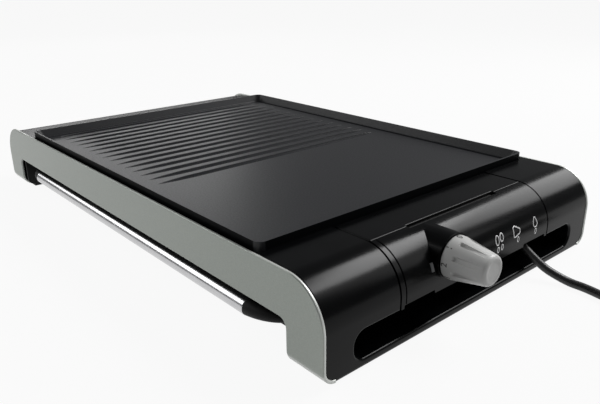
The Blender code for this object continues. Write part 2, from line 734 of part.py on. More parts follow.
# Base screws and rubber feet
def screw(name, x, y, foot_z, frame=body_frame):
    """A pan-head screw that points up."""
    profile = [
        (0, SCREW_HEAD + SCREW_LENGTH),
        (SCREW_SHANK_RADIUS, SCREW_HEAD + SCREW_LENGTH - SCREW_SHANK_RADIUS),
        (SCREW_SHANK_RADIUS, SCREW_HEAD),
        (SCREW_HEAD_RADIUS, SCREW_HEAD),
        (SCREW_HEAD_RADIUS, SCREW_HEAD / 3),
        (SCREW_HEAD_RADIUS - SCREW_HEAD / 3, 0),
        (0, 0),
    ]
    return turned(name, profile, (x, y, foot_z), (0, 0, 1), frame, SHEET_STEEL, 12)


def rubber_foot(name, x, y):
    pad = FOOT_PROUD - SEAT
    profile = [
        (0, pad + FOOT_STEM_LENGTH),
        (FOOT_STEM_RADIUS, pad + FOOT_STEM_LENGTH),
        (FOOT_STEM_RADIUS, pad),
        (FOOT_RADIUS, pad),
        (FOOT_RADIUS, 0),
        (0, 0),
    ]
    return turned(name, profile, (x, y, 0), (0, 0, 1), body_frame, RUBBER, 24)


for x_side, x_name in ((1, "front"), (-1, "rear")):
    for y_side, y_name in ((-1, "near"), (1, "far")):
        screw(f"base_screw_{x_name}_{y_name}", x_side * SCREW_X, y_side * SCREW_Y, FOOT_PROUD + SCREW_HEAD)
        rubber_foot(f"foot_{x_name}_{y_name}", x_side * FOOT_X, y_side * FOOT_Y)


# Inner tub that carries the plate, the heat shield and the tray
def inner_tub():
    half = SHELL_HALF_WIDTH
    z = (TUB_FLOOR_Z, TUB_TOP)
    piece = box("inner_tub", (-TUB_REACH, TUB_REACH), (-half, half), z, surface=MATT_BLACK)
    beyond = half + OVERRUN
    high = TUB_TOP + OVERRUN
    combine(piece, box("wing_front", (TUB_FRONT, HALF_LENGTH), (-beyond, beyond), (TUB_FLOOR_TOP, high)))
    combine(piece, box("wing_rear", (-HALF_LENGTH, TUB_REAR), (-beyond, beyond), (TUB_FLOOR_TOP, high)))
    inside = (half - TUB_WALL, TUB_REAR + TUB_WALL, TUB_FRONT - TUB_WALL)
    combine(piece, box("tub_inside", inside[1:], (-inside[0], inside[0]), (TUB_FLOOR_TOP, high)))
    for index, share in enumerate((-1, 0, 1)):
        x = PLATE_SHIFT + share * PLATE_LENGTH / 3
        span = (x - TUB_RIB_WIDTH / 2, x + TUB_RIB_WIDTH / 2)
        rib_z = (TUB_FLOOR_Z + SEAT, SHIELD_FLOOR_Z - SEAT)
        rib = box(f"tub_rib_{index}", span, (-ELEMENT_OUTER_Y, ELEMENT_OUTER_Y), rib_z)
        combine(piece, rib, "UNION")
    opening = (CHUTE_LENGTH / 2 + SLIDE, CHUTE_WIDTH / 2 + SLIDE)
    hole = box(
        "tub_drain",
        (DRAIN_X - opening[0], DRAIN_X + opening[0]),
        (-opening[1], opening[1]),
        (TUB_FLOOR_Z - OVERRUN, TUB_TOP),
    )
    combine(piece, hole)
    return piece


def element_passage(piece, name, x):
    """Holes for the element's two cold ends through a wall near x."""
    reach = TUB_WALL + SHIELD_MARGIN
    for side in (-1, 1):
        start = (x - reach, side * TERMINAL_Y, TERMINAL_Z)
        end = (x + reach, side * TERMINAL_Y, TERMINAL_Z)
        combine(piece, rod(f"{name}_{side}", start, end, ELEMENT_RADIUS + SEAT, sides=16))


def probe_passage(piece, name, x):
    """A notch for the thermostat's probe in the top of a wall near x."""
    reach, half = TUB_WALL + SHIELD_MARGIN, PROBE_RADIUS + SLIDE
    notch = box(name, (x - reach, x + reach), (KNOB_Y - half, KNOB_Y + half), (PROBE_Z - half, BODY_TOP))
    combine(piece, notch)


tub = inner_tub()
element_passage(tub, "tub_element_hole", TUB_FRONT - TUB_WALL / 2)
probe_passage(tub, "tub_probe_notch", TUB_FRONT - TUB_WALL / 2)


# Rests between the tub's wall and the plate's skirt
for x_side, x_name in ((1, "front"), (-1, "rear")):
    for y_side, y_name in ((-1, "near"), (1, "far")):
        rest_x = PLATE_SHIFT + x_side * REST_X
        rest_y = sorted((y_side * (SHELL_HALF_WIDTH - TUB_WALL), y_side * SHELL_HALF_WIDTH))
        box(
            f"plate_rest_{x_name}_{y_name}",
            (rest_x - REST_LENGTH / 2, rest_x + REST_LENGTH / 2),
            rest_y,
            (TUB_TOP + SEAT, PLATE_SKIRT_Z - SEAT),
            surface=RUBBER,
        )


# Heat shield with a chute down to the tray
def heat_shield():
    x, y = (SHIELD_REAR, SHIELD_FRONT), (-SHIELD_HALF_WIDTH, SHIELD_HALF_WIDTH)
    z, wall = (SHIELD_FLOOR_Z, SHIELD_TOP), SHIELD_WALL
    piece = box("heat_shield", x, y, z, surface=SHEET_STEEL, foot_inset=SHIELD_SLOPE)
    chute = (CHUTE_LENGTH / 2, CHUTE_WIDTH / 2)
    low = SHIELD_FLOOR_Z - CHUTE_DROP
    collar = box(
        "chute_collar",
        (DRAIN_X - chute[0], DRAIN_X + chute[0]),
        (-chute[1], chute[1]),
        (low, SHIELD_FLOOR_Z + wall / 2),
    )
    combine(piece, collar, "UNION")
    hollow = box(
        "shield_inside",
        (x[0] + wall, x[1] - wall),
        (y[0] + wall, y[1] - wall),
        (SHIELD_FLOOR_Z + wall, SHIELD_TOP + wall),
        foot_inset=SHIELD_SLOPE,
    )
    combine(piece, hollow)
    throat = box(
        "chute_throat",
        (DRAIN_X - chute[0] + wall, DRAIN_X + chute[0] - wall),
        (-chute[1] + wall, chute[1] - wall),
        (low - OVERRUN, SHIELD_TOP),
    )
    combine(piece, throat)
    return piece


shield = heat_shield()
element_passage(shield, "shield_element_hole", SHIELD_FRONT)
probe_passage(shield, "shield_probe_notch", SHIELD_FRONT)


# Heating element
def rounded_path(corners, radius, steps):
    """A flat route with its corners rounded, as (x, y) points."""
    route = [corners[0]]
    for before, corner, after in zip(corners, corners[1:], corners[2:]):
        corner = Vector(corner)
        back, ahead = (Vector(before) - corner).normalized(), (Vector(after) - corner).normalized()
        centre = corner + (back + ahead) * radius
        first, last = corner + back * radius - centre, corner + ahead * radius - centre
        turn = first.angle_signed(last)
        for step in range(steps + 1):
            leg = first.copy()
            leg.rotate(Matrix.Rotation(-turn * step / steps, 2))
            route.append(tuple(centre + leg))
    return route + [corners[-1]]


def heating_element():
    half = [
        (ELEMENT_END_X, TERMINAL_Y),
        (ELEMENT_FRONT_X, TERMINAL_Y),
        (ELEMENT_FRONT_X, ELEMENT_OUTER_Y),
        (ELEMENT_REAR_X, ELEMENT_OUTER_Y),
        (ELEMENT_REAR_X, ELEMENT_INNER_Y),
        (ELEMENT_TURN_X, ELEMENT_INNER_Y),
    ]
    corners = half + [(x, -y) for x, y in reversed(half)]
    flat = rounded_path(corners, ELEMENT_BEND, 6)
    ramp_start, ramp_end = ELEMENT_FRONT_X + ELEMENT_BEND, SHIELD_FRONT - SHIELD_MARGIN
    ramp = [ramp_start + (ramp_end - ramp_start) * step / 5 for step in range(1, 6)]
    down = [(x, TERMINAL_Y) for x in reversed(ramp)]
    rise = [(x, -TERMINAL_Y) for x in ramp]
    flat = flat[:1] + down + flat[1:-1] + rise + flat[-1:]
    points = []
    for x, y in flat:
        share = ease((x - ramp_start) / (ramp_end - ramp_start)) if abs(y) <= TERMINAL_Y + SEAT else 0
        points.append((x, y, ELEMENT_Z + (TERMINAL_Z - ELEMENT_Z) * share))
    return tube("heating_element", points, ELEMENT_RADIUS, body_frame, SHEATH_STEEL)


heating_element()
for y_side, y_name in ((-1, "near"), (1, "far")):
    pin_start = (ELEMENT_END_X + SEAT, y_side * TERMINAL_Y, TERMINAL_Z)
    pin_end = (ELEMENT_END_X + SEAT + TERMINAL_LENGTH, y_side * TERMINAL_Y, TERMINAL_Z)
    rod(f"terminal_pin_{y_name}", pin_start, pin_end, TERMINAL_RADIUS, surface=BRASS, sides=16)

flange_x = (TUB_FRONT + SEAT, TUB_FRONT + SEAT + TERMINAL_RADIUS)
element_flange = box(
    "element_flange",
    flange_x,
    (-TERMINAL_Y * 2, TERMINAL_Y * 2),
    (TERMINAL_Z - ELEMENT_RADIUS * 2, TERMINAL_Z + ELEMENT_RADIUS * 2),
    surface=SHEET_STEEL,
)
element_passage(element_flange, "flange_hole", TUB_FRONT)


def element_clip(name, x, y):
    """A spring saddle that stands on the heat shield and grips the element from below."""
    floor = SHIELD_FLOOR_Z + SHIELD_WALL + SEAT
    grip, back = ELEMENT_RADIUS + SEAT, ELEMENT_RADIUS + SEAT + CLIP_WALL
    half = CLIP_WALL
    dip = math.degrees(math.asin(half / back))
    outline = [(-CLIP_FOOT, floor), (CLIP_FOOT, floor)]
    outline += [(CLIP_FOOT, floor + CLIP_WALL), (half, floor + CLIP_WALL)]
    outline += arc((0, ELEMENT_Z), back, -90 + dip, 15, 6)
    outline += arc((0, ELEMENT_Z), grip, 15, -195, 12)
    outline += arc((0, ELEMENT_Z), back, -195, -90 - dip, 6)
    outline += [(-half, floor + CLIP_WALL), (-CLIP_FOOT, floor + CLIP_WALL)]
    outline = [(y + across, up) for across, up in outline]
    return prism(name, [outline], "X", (x - CLIP_WIDTH / 2, x + CLIP_WIDTH / 2), surface=SHEET_STEEL)


clip_x = (ELEMENT_REAR_X + ELEMENT_TURN_X) / 3
clip_rows = ((clip_x, ELEMENT_OUTER_Y), (clip_x * 5, ELEMENT_INNER_Y))
for row, (row_x, row_y) in enumerate(clip_rows):
    for y_side, y_name in ((-1, "near"), (1, "far")):
        element_clip(f"element_clip_{row + 1}_{y_name}", row_x, y_side * row_y)


# Cooking plate
def groove_cutter():
    """All grooves as one tool: long troughs that rise and narrow to a point at both ends."""
    bm = bmesh.new()
    top = PLATE_SURFACE + OVERRUN / 2
    bed = PLATE_SURFACE - GROOVE_DEPTH
    run, tip = GROOVE_LENGTH / 2 - GROOVE_TAPER, GROOVE_LENGTH / 2
    spread = GROOVE_WIDTH / 2 + (GROOVE_WIDTH - GROOVE_BED) / 2 * (OVERRUN / 2) / GROOVE_DEPTH
    for index in range(GROOVES):
        x = PLATE_REAR + GROOVE_FIRST + index * GROOVE_PITCH
        made = bmesh.ops.create_cube(bm, size=1)["verts"]
        ends = [f for f in {f for v in made for f in v.link_faces} if round(abs(f.normal.y)) == 1]
        for corner in made:
            half = spread if corner.co.z > 0 else GROOVE_BED / 2
            corner.co = (
                x + math.copysign(half, corner.co.x),
                math.copysign(run, corner.co.y),
                top if corner.co.z > 0 else bed,
            )
        for centre in bmesh.ops.poke(bm, faces=ends)["verts"]:
            centre.co = (x, math.copysign(tip, centre.co.y), top)
    return place("plate_grooves", mesh_from(bm, "plate_grooves"), plate_frame, None)


def grill_plate():
    half_x, half_y = PLATE_LENGTH / 2, PLATE_WIDTH / 2
    low, high = (PLATE_SHIFT - half_x, -half_y), (PLATE_SHIFT + half_x, half_y)
    piece = prism(
        "grill_plate",
        [rounded_rectangle(low, high, PLATE_CORNER)],
        "Z",
        (PLATE_SKIRT_Z, PLATE_RIM_Z),
        plate_frame,
        NON_STICK,
    )
    rim = PLATE_RIM
    rise = OVERRUN
    lean = PLATE_SLOPE * (PLATE_DISH + rise) / PLATE_DISH
    wide = rim - PLATE_SLOPE * rise / PLATE_DISH
    dish = box(
        "plate_dish",
        (low[0] + wide, high[0] - wide),
        (low[1] + wide, high[1] - wide),
        (PLATE_SURFACE, PLATE_RIM_Z + rise),
        plate_frame,
        foot_inset=lean,
    )
    edges = dish.modifiers.new("corners", "BEVEL")
    edges.width = PLATE_CORNER - rim
    edges.segments = 3
    edges.limit_method = "ANGLE"
    combine(piece, dish)
    edge = rim + PLATE_SLOPE
    inner = edge + GUTTER_WIDTH
    borders = [
        rounded_rectangle((low[0] + side, low[1] + side), (high[0] - side, high[1] - side), PLATE_CORNER)
        for side in (edge, inner)
    ]
    gutter = prism(
        "plate_gutter",
        borders,
        "Z",
        (PLATE_SURFACE - GUTTER_DEPTH, PLATE_SURFACE + PLATE_DISH / 2),
        plate_frame,
    )
    combine(piece, gutter)
    wall, notch = PLATE_SKIRT_WALL, PROBE_RADIUS + SLIDE
    room = [
        (low[0] + wall, low[1] + wall),
        (high[0] - wall, low[1] + wall),
        (high[0] - wall, KNOB_Y - notch),
        (high[0] + OVERRUN, KNOB_Y - notch),
        (high[0] + OVERRUN, KNOB_Y + notch),
        (high[0] - wall, KNOB_Y + notch),
        (high[0] - wall, high[1] - wall),
        (low[0] + wall, high[1] - wall),
    ]
    under = prism("plate_under", [room], "Z", (PLATE_SKIRT_Z - OVERRUN, PLATE_UNDERSIDE), plate_frame)
    combine(piece, under)
    combine(piece, groove_cutter())
    for index in range(DRAIN_SLOTS):
        x = PLATE_REAR + GROOVE_FIRST + (GROOVES - 1 - index) * GROOVE_PITCH
        slot = box(
            f"drain_slot_{index}",
            (x - DRAIN_WIDTH / 2, x + DRAIN_WIDTH / 2),
            (-DRAIN_LENGTH / 2, DRAIN_LENGTH / 2),
            (PLATE_UNDERSIDE - OVERRUN, PLATE_RIM_Z),
            plate_frame,
        )
        combine(piece, slot)
    return piece


grill_plate()


# Drip tray and its runners
def tray_runner(name, side):
    """An L rail on the leg's inner wall; the tray hangs on its ledge."""
    wall_x = LEG_WALL_X - SEAT
    top = TUB_FLOOR_Z - SEAT
    ledge_top = TRAY_TOP_Z - TRAY_WALL - SEAT
    shape = [
        (wall_x, top),
        (wall_x, top - RUNNER_DROP),
        (wall_x - RUNNER_WALL, top - RUNNER_DROP),
        (wall_x - RUNNER_WALL, ledge_top - RUNNER_WALL),
        (wall_x - RUNNER_WALL - RUNNER_LEDGE, ledge_top - RUNNER_WALL),
        (wall_x - RUNNER_WALL - RUNNER_LEDGE, ledge_top),
        (wall_x - RUNNER_WALL, ledge_top),
        (wall_x - RUNNER_WALL, top),
    ]
    if side < 0:
        shape = mirrored(shape)
    return prism(name, [shape], "Y", (TRAY_NEAR_Y, TRAY_FAR_Y), surface=MATT_BLACK)


tray_runner("tray_runner_front", 1)
tray_runner("tray_runner_rear", -1)


def drip_tray():
    y = (TRAY_NEAR_Y, TRAY_FAR_Y)
    x = (-TRAY_HALF, TRAY_HALF)
    z = (TRAY_FLOOR_Z, TRAY_TOP_Z)
    piece = box("drip_tray", x, y, z, tray_frame, SHEET_STEEL, foot_inset=TRAY_SLOPE)
    brim = TRAY_HALF + TRAY_FLANGE
    flange = box("tray_flange", (-brim, brim), y, (TRAY_TOP_Z - TRAY_WALL, TRAY_TOP_Z), tray_frame)
    combine(piece, flange, "UNION")
    hollow = box(
        "tray_inside",
        (x[0] + TRAY_WALL, x[1] - TRAY_WALL),
        (y[0] + TRAY_WALL, y[1] - TRAY_WALL),
        (TRAY_FLOOR_Z + TRAY_WALL, TRAY_TOP_Z + TRAY_WALL),
        tray_frame,
        foot_inset=TRAY_SLOPE,
    )
    combine(piece, hollow)
    return piece


drip_tray()


def tray_front():
    """The black rail along the tray's near edge, which the handle is fixed to."""
    y = (TRAY_NEAR_Y - SEAT - TRAY_FRONT_WALL, TRAY_NEAR_Y - SEAT)
    half = TRAY_HALF + TRAY_FLANGE
    outline = rounded_rectangle((-half, TRAY_FLOOR_Z + SLIDE), (half, TRAY_TOP_Z), HANDLE_RADIUS)
    return prism("tray_front", [outline], "Y", y, tray_frame, MATT_BLACK)


tray_front()
rod(
    "handle_bar",
    (-HANDLE_HALF, HANDLE_Y, HANDLE_Z),
    (HANDLE_HALF, HANDLE_Y, HANDLE_Z),
    HANDLE_RADIUS,
    tray_frame,
    CHROME,
    sides=32,
)


def handle_end(name, side):
    """A black end that tapers and bends back from the bar to the tray's front rail."""
    start_x = HANDLE_HALF + SEAT
    back_y = TRAY_NEAR_Y - SEAT * 2 - TRAY_FRONT_WALL
    bend_y = back_y - SLIDE - HANDLE_Y
    points, radii = [], []
    steps = 9
    for step in range(steps + 1):
        angle = math.radians(90 * step / steps)
        x = start_x + HANDLE_END_REACH * math.sin(angle)
        points.append((side * x, HANDLE_Y + bend_y * (1 - math.cos(angle)), HANDLE_Z))
        radii.append(HANDLE_END_RADIUS + (HANDLE_TIP_RADIUS - HANDLE_END_RADIUS) * ease(step / steps))
    points.append((side * (start_x + HANDLE_END_REACH), back_y, HANDLE_Z))
    radii.append(HANDLE_TIP_RADIUS)
    return tube(name, points, HANDLE_END_RADIUS, tray_frame, MATT_BLACK, resolution=3, radii=radii)


handle_end("handle_end_front", 1)
handle_end("handle_end_rear", -1)


# Control unit: fascia, back shell and top strip
def control_fascia():
    """The rounded gloss front with a boss round the knob."""
    outer, inner = COVER_INSET, COVER_INSET + COVER_WALL
    centre = (HALF_LENGTH - END_RADIUS, BODY_TOP - END_RADIUS)
    start = SLIT_X + SEAM
    skin = [(start, BODY_TOP - outer), *arc(centre, END_RADIUS - outer, 81, 0, 9)]
    skin += [(FRONT_X, CONTROL_BOTTOM_Z), (FRONT_X - COVER_WALL, CONTROL_BOTTOM_Z)]
    skin += [*arc(centre, END_RADIUS - inner, 0, 81, 9), (start, BODY_TOP - inner)]
    piece = prism(
        "control_fascia", [skin], "Y", (-CONTROL_HALF, CONTROL_HALF), control_frame, GLOSS_BLACK
    )
    axis = (KNOB_Y, KNOB_Z)
    ends = ((BOSS_REAR_X, *axis), (BOSS_FRONT_X, *axis))
    combine(piece, rod("knob_boss", *ends, BOSS_RADIUS, control_frame, sides=48), "UNION")
    room = rod(
        "knob_boss_room",
        (CONTROL_BACK_X - OVERRUN, *axis),
        (BOSS_FRONT_X - BOSS_WALL, *axis),
        BOSS_RADIUS - BOSS_WALL,
        control_frame,
        sides=40,
    )
    combine(piece, room)
    bore = rod(
        "shaft_hole",
        (BOSS_REAR_X, *axis),
        (FRONT_X + OVERRUN, *axis),
        BUSHING_RADIUS,
        control_frame,
        sides=20,
    )
    combine(piece, bore)
    notch = box(
        "slit_notch",
        (SLIT_X - OVERRUN, start + SLIT_NOTCH),
        (-SLIT_NOTCH_LENGTH / 2, SLIT_NOTCH_LENGTH / 2),
        (BODY_TOP - inner - OVERRUN, BODY_TOP + OVERRUN),
        control_frame,
    )
    combine(piece, notch)
    for side in (-1, 1):
        tab_end = CONTROL_HALF - TAB_NOTCH_INSET
        tab = sorted((side * tab_end, side * (tab_end - TAB_NOTCH_LENGTH)))
        through = (FRONT_X - COVER_WALL - OVERRUN, FRONT_X + OVERRUN)
        low = (CONTROL_BOTTOM_Z - OVERRUN, CONTROL_BOTTOM_Z + TAB_NOTCH)
        combine(piece, box(f"tab_notch_{side}", through, tab, low, control_frame))
    window = box(
        "lens_window",
        (FRONT_X - LENS_REACH, FRONT_X + OVERRUN),
        (LENS_Y - LENS_WIDTH / 2 - SEAT, LENS_Y + LENS_WIDTH / 2 + SEAT),
        (LENS_Z - LENS_HEIGHT / 2 - SEAT, LENS_Z + LENS_HEIGHT / 2 + SEAT),
        control_frame,
    )
    combine(piece, window)
    smooth(piece)
    return piece


def relief_axis(distance):
    """A point on the cord's way out, measured back from the strain relief's tip."""
    return Vector(
        (
            RELIEF_TIP_X - distance * math.cos(CORD_SLOPE),
            CORD_Y,
            RELIEF_TIP_Z + distance * math.sin(CORD_SLOPE),
        )
    )


def control_back():
    """The matt shell behind the fascia, open to the front."""
    rear, low = CONTROL_BACK_X, CONTROL_BOTTOM_Z
    inset = COVER_INSET + COVER_WALL + SEAT
    half = CONTROL_HALF - SEAM
    piece = prism(
        "control_back", [end_profile(inset, rear, low)], "Y", (-half, half), control_frame, MATT_BLACK
    )
    wall = CONTROL_WALL
    inside = end_profile(inset + wall, rear + wall, low + wall)
    combine(piece, prism("control_room", [inside], "Y", (-half + wall, half - wall), control_frame))
    opening = box(
        "control_mouth",
        (SLIT_X + CONTROL_WALL, HALF_LENGTH + OVERRUN),
        (-half + wall, half - wall),
        (low + wall, BODY_TOP),
        control_frame,
    )
    combine(piece, opening)
    for side in (-1, 1):
        start = (rear - OVERRUN, side * TERMINAL_Y, TERMINAL_Z)
        end = (rear + wall + OVERRUN, side * TERMINAL_Y, TERMINAL_Z)
        hole = TERMINAL_RADIUS + SLIDE / 2
        combine(piece, rod(f"pin_hole_{side}", start, end, hole, control_frame, sides=16))
    probe_start = (rear - OVERRUN, KNOB_Y, PROBE_Z)
    probe_end = (rear + wall + OVERRUN, KNOB_Y, PROBE_Z)
    combine(piece, rod("probe_hole", probe_start, probe_end, PROBE_RADIUS + SEAT, control_frame, sides=16))
    boss = ((BOSS_REAR_X - SEAM, KNOB_Y, KNOB_Z), (HALF_LENGTH, KNOB_Y, KNOB_Z))
    combine(piece, rod("boss_room", *boss, BOSS_RADIUS + SEAM, control_frame, sides=40))
    outlet = rod(
        "relief_outlet",
        relief_axis(RELIEF_LENGTH),
        relief_axis(-OVERRUN),
        RELIEF_ROOT_RADIUS + SEAT,
        control_frame,
        sides=20,
        end_radius=RELIEF_TIP_RADIUS + SEAT,
    )
    combine(piece, outlet)
    return piece


def control_top_strip():
    x = (PLATE_FRONT + PLATE_LIFT_CLEAR + SEAM, SLIT_X)
    z = (COVER_TOP - COVER_WALL, COVER_TOP)
    piece = box("control_top_strip", x, (-CONTROL_HALF, CONTROL_HALF), z, control_frame, GLOSS_BLACK)
    notch = box(
        "strip_notch",
        (SLIT_X - SLIT_NOTCH, SLIT_X + OVERRUN),
        (-SLIT_NOTCH_LENGTH / 2, SLIT_NOTCH_LENGTH / 2),
        (z[0] - OVERRUN, z[1] + OVERRUN),
        control_frame,
    )
    return combine(piece, notch)


control_fascia()
control_back()
control_top_strip()


# Thermostat, socket, lamp and lens
def thermostat():
    x0, half = CONTROL_INNER_X, THERMOSTAT_SIDE / 2
    bracket = box(
        "thermostat_bracket",
        (x0, x0 + BRACKET_WALL),
        (KNOB_Y - BRACKET_WIDTH / 2, KNOB_Y + BRACKET_WIDTH / 2),
        (KNOB_Z - BRACKET_HEIGHT / 2 - SLIDE, KNOB_Z + BRACKET_HEIGHT / 2 - SLIDE),
        control_frame,
        SHEET_STEEL,
    )
    hole = ((x0 - OVERRUN, KNOB_Y, PROBE_Z), (x0 + BRACKET_WALL + OVERRUN, KNOB_Y, PROBE_Z))
    combine(bracket, rod("bracket_hole", *hole, PROBE_RADIUS + SEAT, control_frame, sides=16))
    block_x = x0 + BRACKET_WALL + SEAT
    piece = box(
        "thermostat_body",
        (block_x, THERMOSTAT_FRONT_X),
        (KNOB_Y - half, KNOB_Y + half),
        (KNOB_Z - half, KNOB_Z + half),
        control_frame,
        CERAMIC,
    )
    neck = (
        (THERMOSTAT_FRONT_X - BRACKET_WALL, KNOB_Y, KNOB_Z),
        (THERMOSTAT_FRONT_X + BUSHING_LENGTH, KNOB_Y, KNOB_Z),
    )
    combine(piece, rod("bushing", *neck, BUSHING_RADIUS - SEAT, control_frame, sides=20), "UNION")
    bore = ((block_x + THERMOSTAT_DEPTH / 2, KNOB_Y, KNOB_Z), (FRONT_X, KNOB_Y, KNOB_Z))
    combine(piece, rod("bushing_bore", *bore, SHAFT_RADIUS + SEAT, control_frame, sides=20))
    probe = ((PROBE_TIP_X, KNOB_Y, PROBE_Z), (block_x - SEAT, KNOB_Y, PROBE_Z))
    rod("thermostat_probe", *probe, PROBE_RADIUS, control_frame, BRASS, sides=16)


def socket_block():
    x = (CONTROL_INNER_X, CONTROL_INNER_X + SOCKET_DEPTH)
    piece = box(
        "socket_block",
        x,
        (-SOCKET_WIDTH / 2, SOCKET_WIDTH / 2),
        (TERMINAL_Z - SOCKET_HEIGHT / 2, TERMINAL_Z + SOCKET_HEIGHT / 2),
        control_frame,
        CERAMIC,
    )
    for side in (-1, 1):
        y = side * TERMINAL_Y
        bore = ((x[0] - OVERRUN, y, TERMINAL_Z), (x[1] - SLIDE, y, TERMINAL_Z))
        hole = TERMINAL_RADIUS + SEAT
        combine(piece, rod(f"socket_bore_{side}", *bore, hole, control_frame, sides=16))


def pilot_light():
    centre = (HALF_LENGTH - END_RADIUS, BODY_TOP - END_RADIUS)
    low, high = LENS_Z - LENS_HEIGHT / 2, LENS_Z + LENS_HEIGHT / 2
    face = END_RADIUS - COVER_INSET + LENS_PROUD
    hidden = END_RADIUS - COVER_INSET - COVER_WALL
    back = centre[0] + math.sqrt(hidden**2 - (high - centre[1]) ** 2) - SEAT
    angles = [math.degrees(math.asin((height - centre[1]) / face)) for height in (low, high)]
    outline = [(back, low), *arc(centre, face, *angles, 4), (back, high)]
    span = (LENS_Y - LENS_WIDTH / 2, LENS_Y + LENS_WIDTH / 2)
    prism("pilot_lens", [outline], "Y", span, control_frame, LENS_CLEAR)
    lamp_y = LENS_Y - LAMP_RADIUS / 2
    lamp = ((back - SEAT - LAMP_LENGTH, lamp_y, LENS_Z), (back - SEAT, lamp_y, LENS_Z))
    rod("pilot_lamp", *lamp, LAMP_RADIUS, control_frame, LENS_CLEAR, sides=16)


thermostat()
socket_block()
pilot_light()


# Knob and shaft, turned about the knob's own axis, which points along +X
def knob():
    base, nose = KNOB_RADIUS, KNOB_NOSE_RADIUS
    bore, depth = SHAFT_RADIUS + SEAT, SHAFT_IN_KNOB + SEAT
    profile = [
        (0, KNOB_LENGTH),
        (nose - KNOB_NOSE_ROUND, KNOB_LENGTH),
        (nose - KNOB_NOSE_ROUND * 0.3, KNOB_LENGTH - KNOB_NOSE_ROUND * 0.3),
        (nose, KNOB_LENGTH - KNOB_NOSE_ROUND),
        (base, KNOB_BASE_ROUND * 3),
        (base, KNOB_BASE_ROUND),
        (base - KNOB_BASE_ROUND * 0.3, KNOB_BASE_ROUND * 0.3),
        (base - KNOB_BASE_ROUND, 0),
        (bore, 0),
        (bore, depth),
        (0, depth),
    ]
    piece = turned("knob", profile, (0, 0, 0), (1, 0, 0), knob_axis, SATIN_SILVER, 48)
    slope = (base - nose) / (KNOB_LENGTH - KNOB_NOSE_ROUND - KNOB_BASE_ROUND * 3)
    start_radius = base - slope * (FLUTE_START - KNOB_BASE_ROUND * 3) - FLUTE_DEPTH
    end_radius = base - slope * (FLUTE_START + FLUTE_LENGTH - KNOB_BASE_ROUND * 3)
    bm = bmesh.new()
    for index in range(KNOB_FLUTES):
        made = bmesh.ops.create_cube(bm, size=1)["verts"]
        for corner in made:
            along = FLUTE_START + (FLUTE_LENGTH if corner.co.x > 0 else 0)
            floor = end_radius if corner.co.x > 0 else start_radius
            corner.co = (
                along,
                math.copysign(FLUTE_WIDTH / 2, corner.co.y),
                floor if corner.co.z < 0 else base + OVERRUN,
            )
        turn = Matrix.Rotation(math.radians(360) * (index + 0.5) / KNOB_FLUTES, 4, "X")
        bmesh.ops.transform(bm, matrix=turn, verts=made)
    flutes = place("knob_flutes", mesh_from(bm, "knob_flutes"), knob_axis, None)
    combine(piece, flutes)
    return piece


knob()
shaft_start = THERMOSTAT_FRONT_X - THERMOSTAT_DEPTH / 2 + SLIDE - KNOB_BASE_X
shaft_ends = ((shaft_start, 0, 0), (SHAFT_IN_KNOB, 0, 0))
rod("knob_shaft", *shaft_ends, SHAFT_RADIUS, knob_axis, SHEET_STEEL, sides=20)


# Mains cord: strain relief, clamp, free stretch, coil, tail and plug
def strain_relief():
    steps = [
        (0, RELIEF_LENGTH),
        (RELIEF_FLANGE_RADIUS, RELIEF_LENGTH),
        (RELIEF_FLANGE_RADIUS, RELIEF_LENGTH - RELIEF_FLANGE),
        (RELIEF_ROOT_RADIUS, RELIEF_LENGTH - RELIEF_FLANGE),
        (RELIEF_TIP_RADIUS, 0),
        (0, 0),
    ]
    direction = relief_axis(RELIEF_LENGTH) - relief_axis(0)
    return turned("strain_relief", steps, relief_axis(0), direction, control_frame, RUBBER, 20)


def cord_clamp():
    root = relief_axis(RELIEF_LENGTH)
    reach = RELIEF_FLANGE_RADIUS
    x1 = root.x - reach * math.sin(CORD_SLOPE) - SEAT * 2
    low = CONTROL_BOTTOM_Z + CONTROL_WALL + SEAT
    return box(
        "cord_clamp",
        (CONTROL_INNER_X, x1),
        (CORD_Y - reach, CORD_Y + reach),
        (low, root.z + reach),
        control_frame,
        MATT_BLACK,
    )


strain_relief()
cord_clamp()

cord_z = CORD_RADIUS + SEAT / 2
exit_point = relief_axis(-SEAT)
FREE_STRETCH = [
    (0.0145, 0.0008, 0.0155),
    (0.0235, 0.0023, 0.0098),
    (0.0335, 0.0040, 0.0060),
    (0.0445, 0.0051, cord_z),
    (0.0555, 0.0049, cord_z),
    (0.0675, 0.0032, cord_z),
    (0.0815, 0.0006, cord_z),
    (0.0955, -0.0012, cord_z),
    (0.1095, -0.0019, COIL_Z),
    (0.1215, -0.0020, COIL_Z),
]
CORD_ROUTE = [
    exit_point,
    relief_axis(-CORD_LEAD),
    *[(RELIEF_TIP_X + x, CORD_Y + y, z) for x, y, z in FREE_STRETCH],
    (COIL_X - COIL_LEAD - SEAT, COIL_Y - COIL_RADIUS, COIL_Z),
]
tube("cord", smooth_route(CORD_ROUTE, CORD_RADIUS * 3), CORD_RADIUS, control_frame, CORD_BLACK)


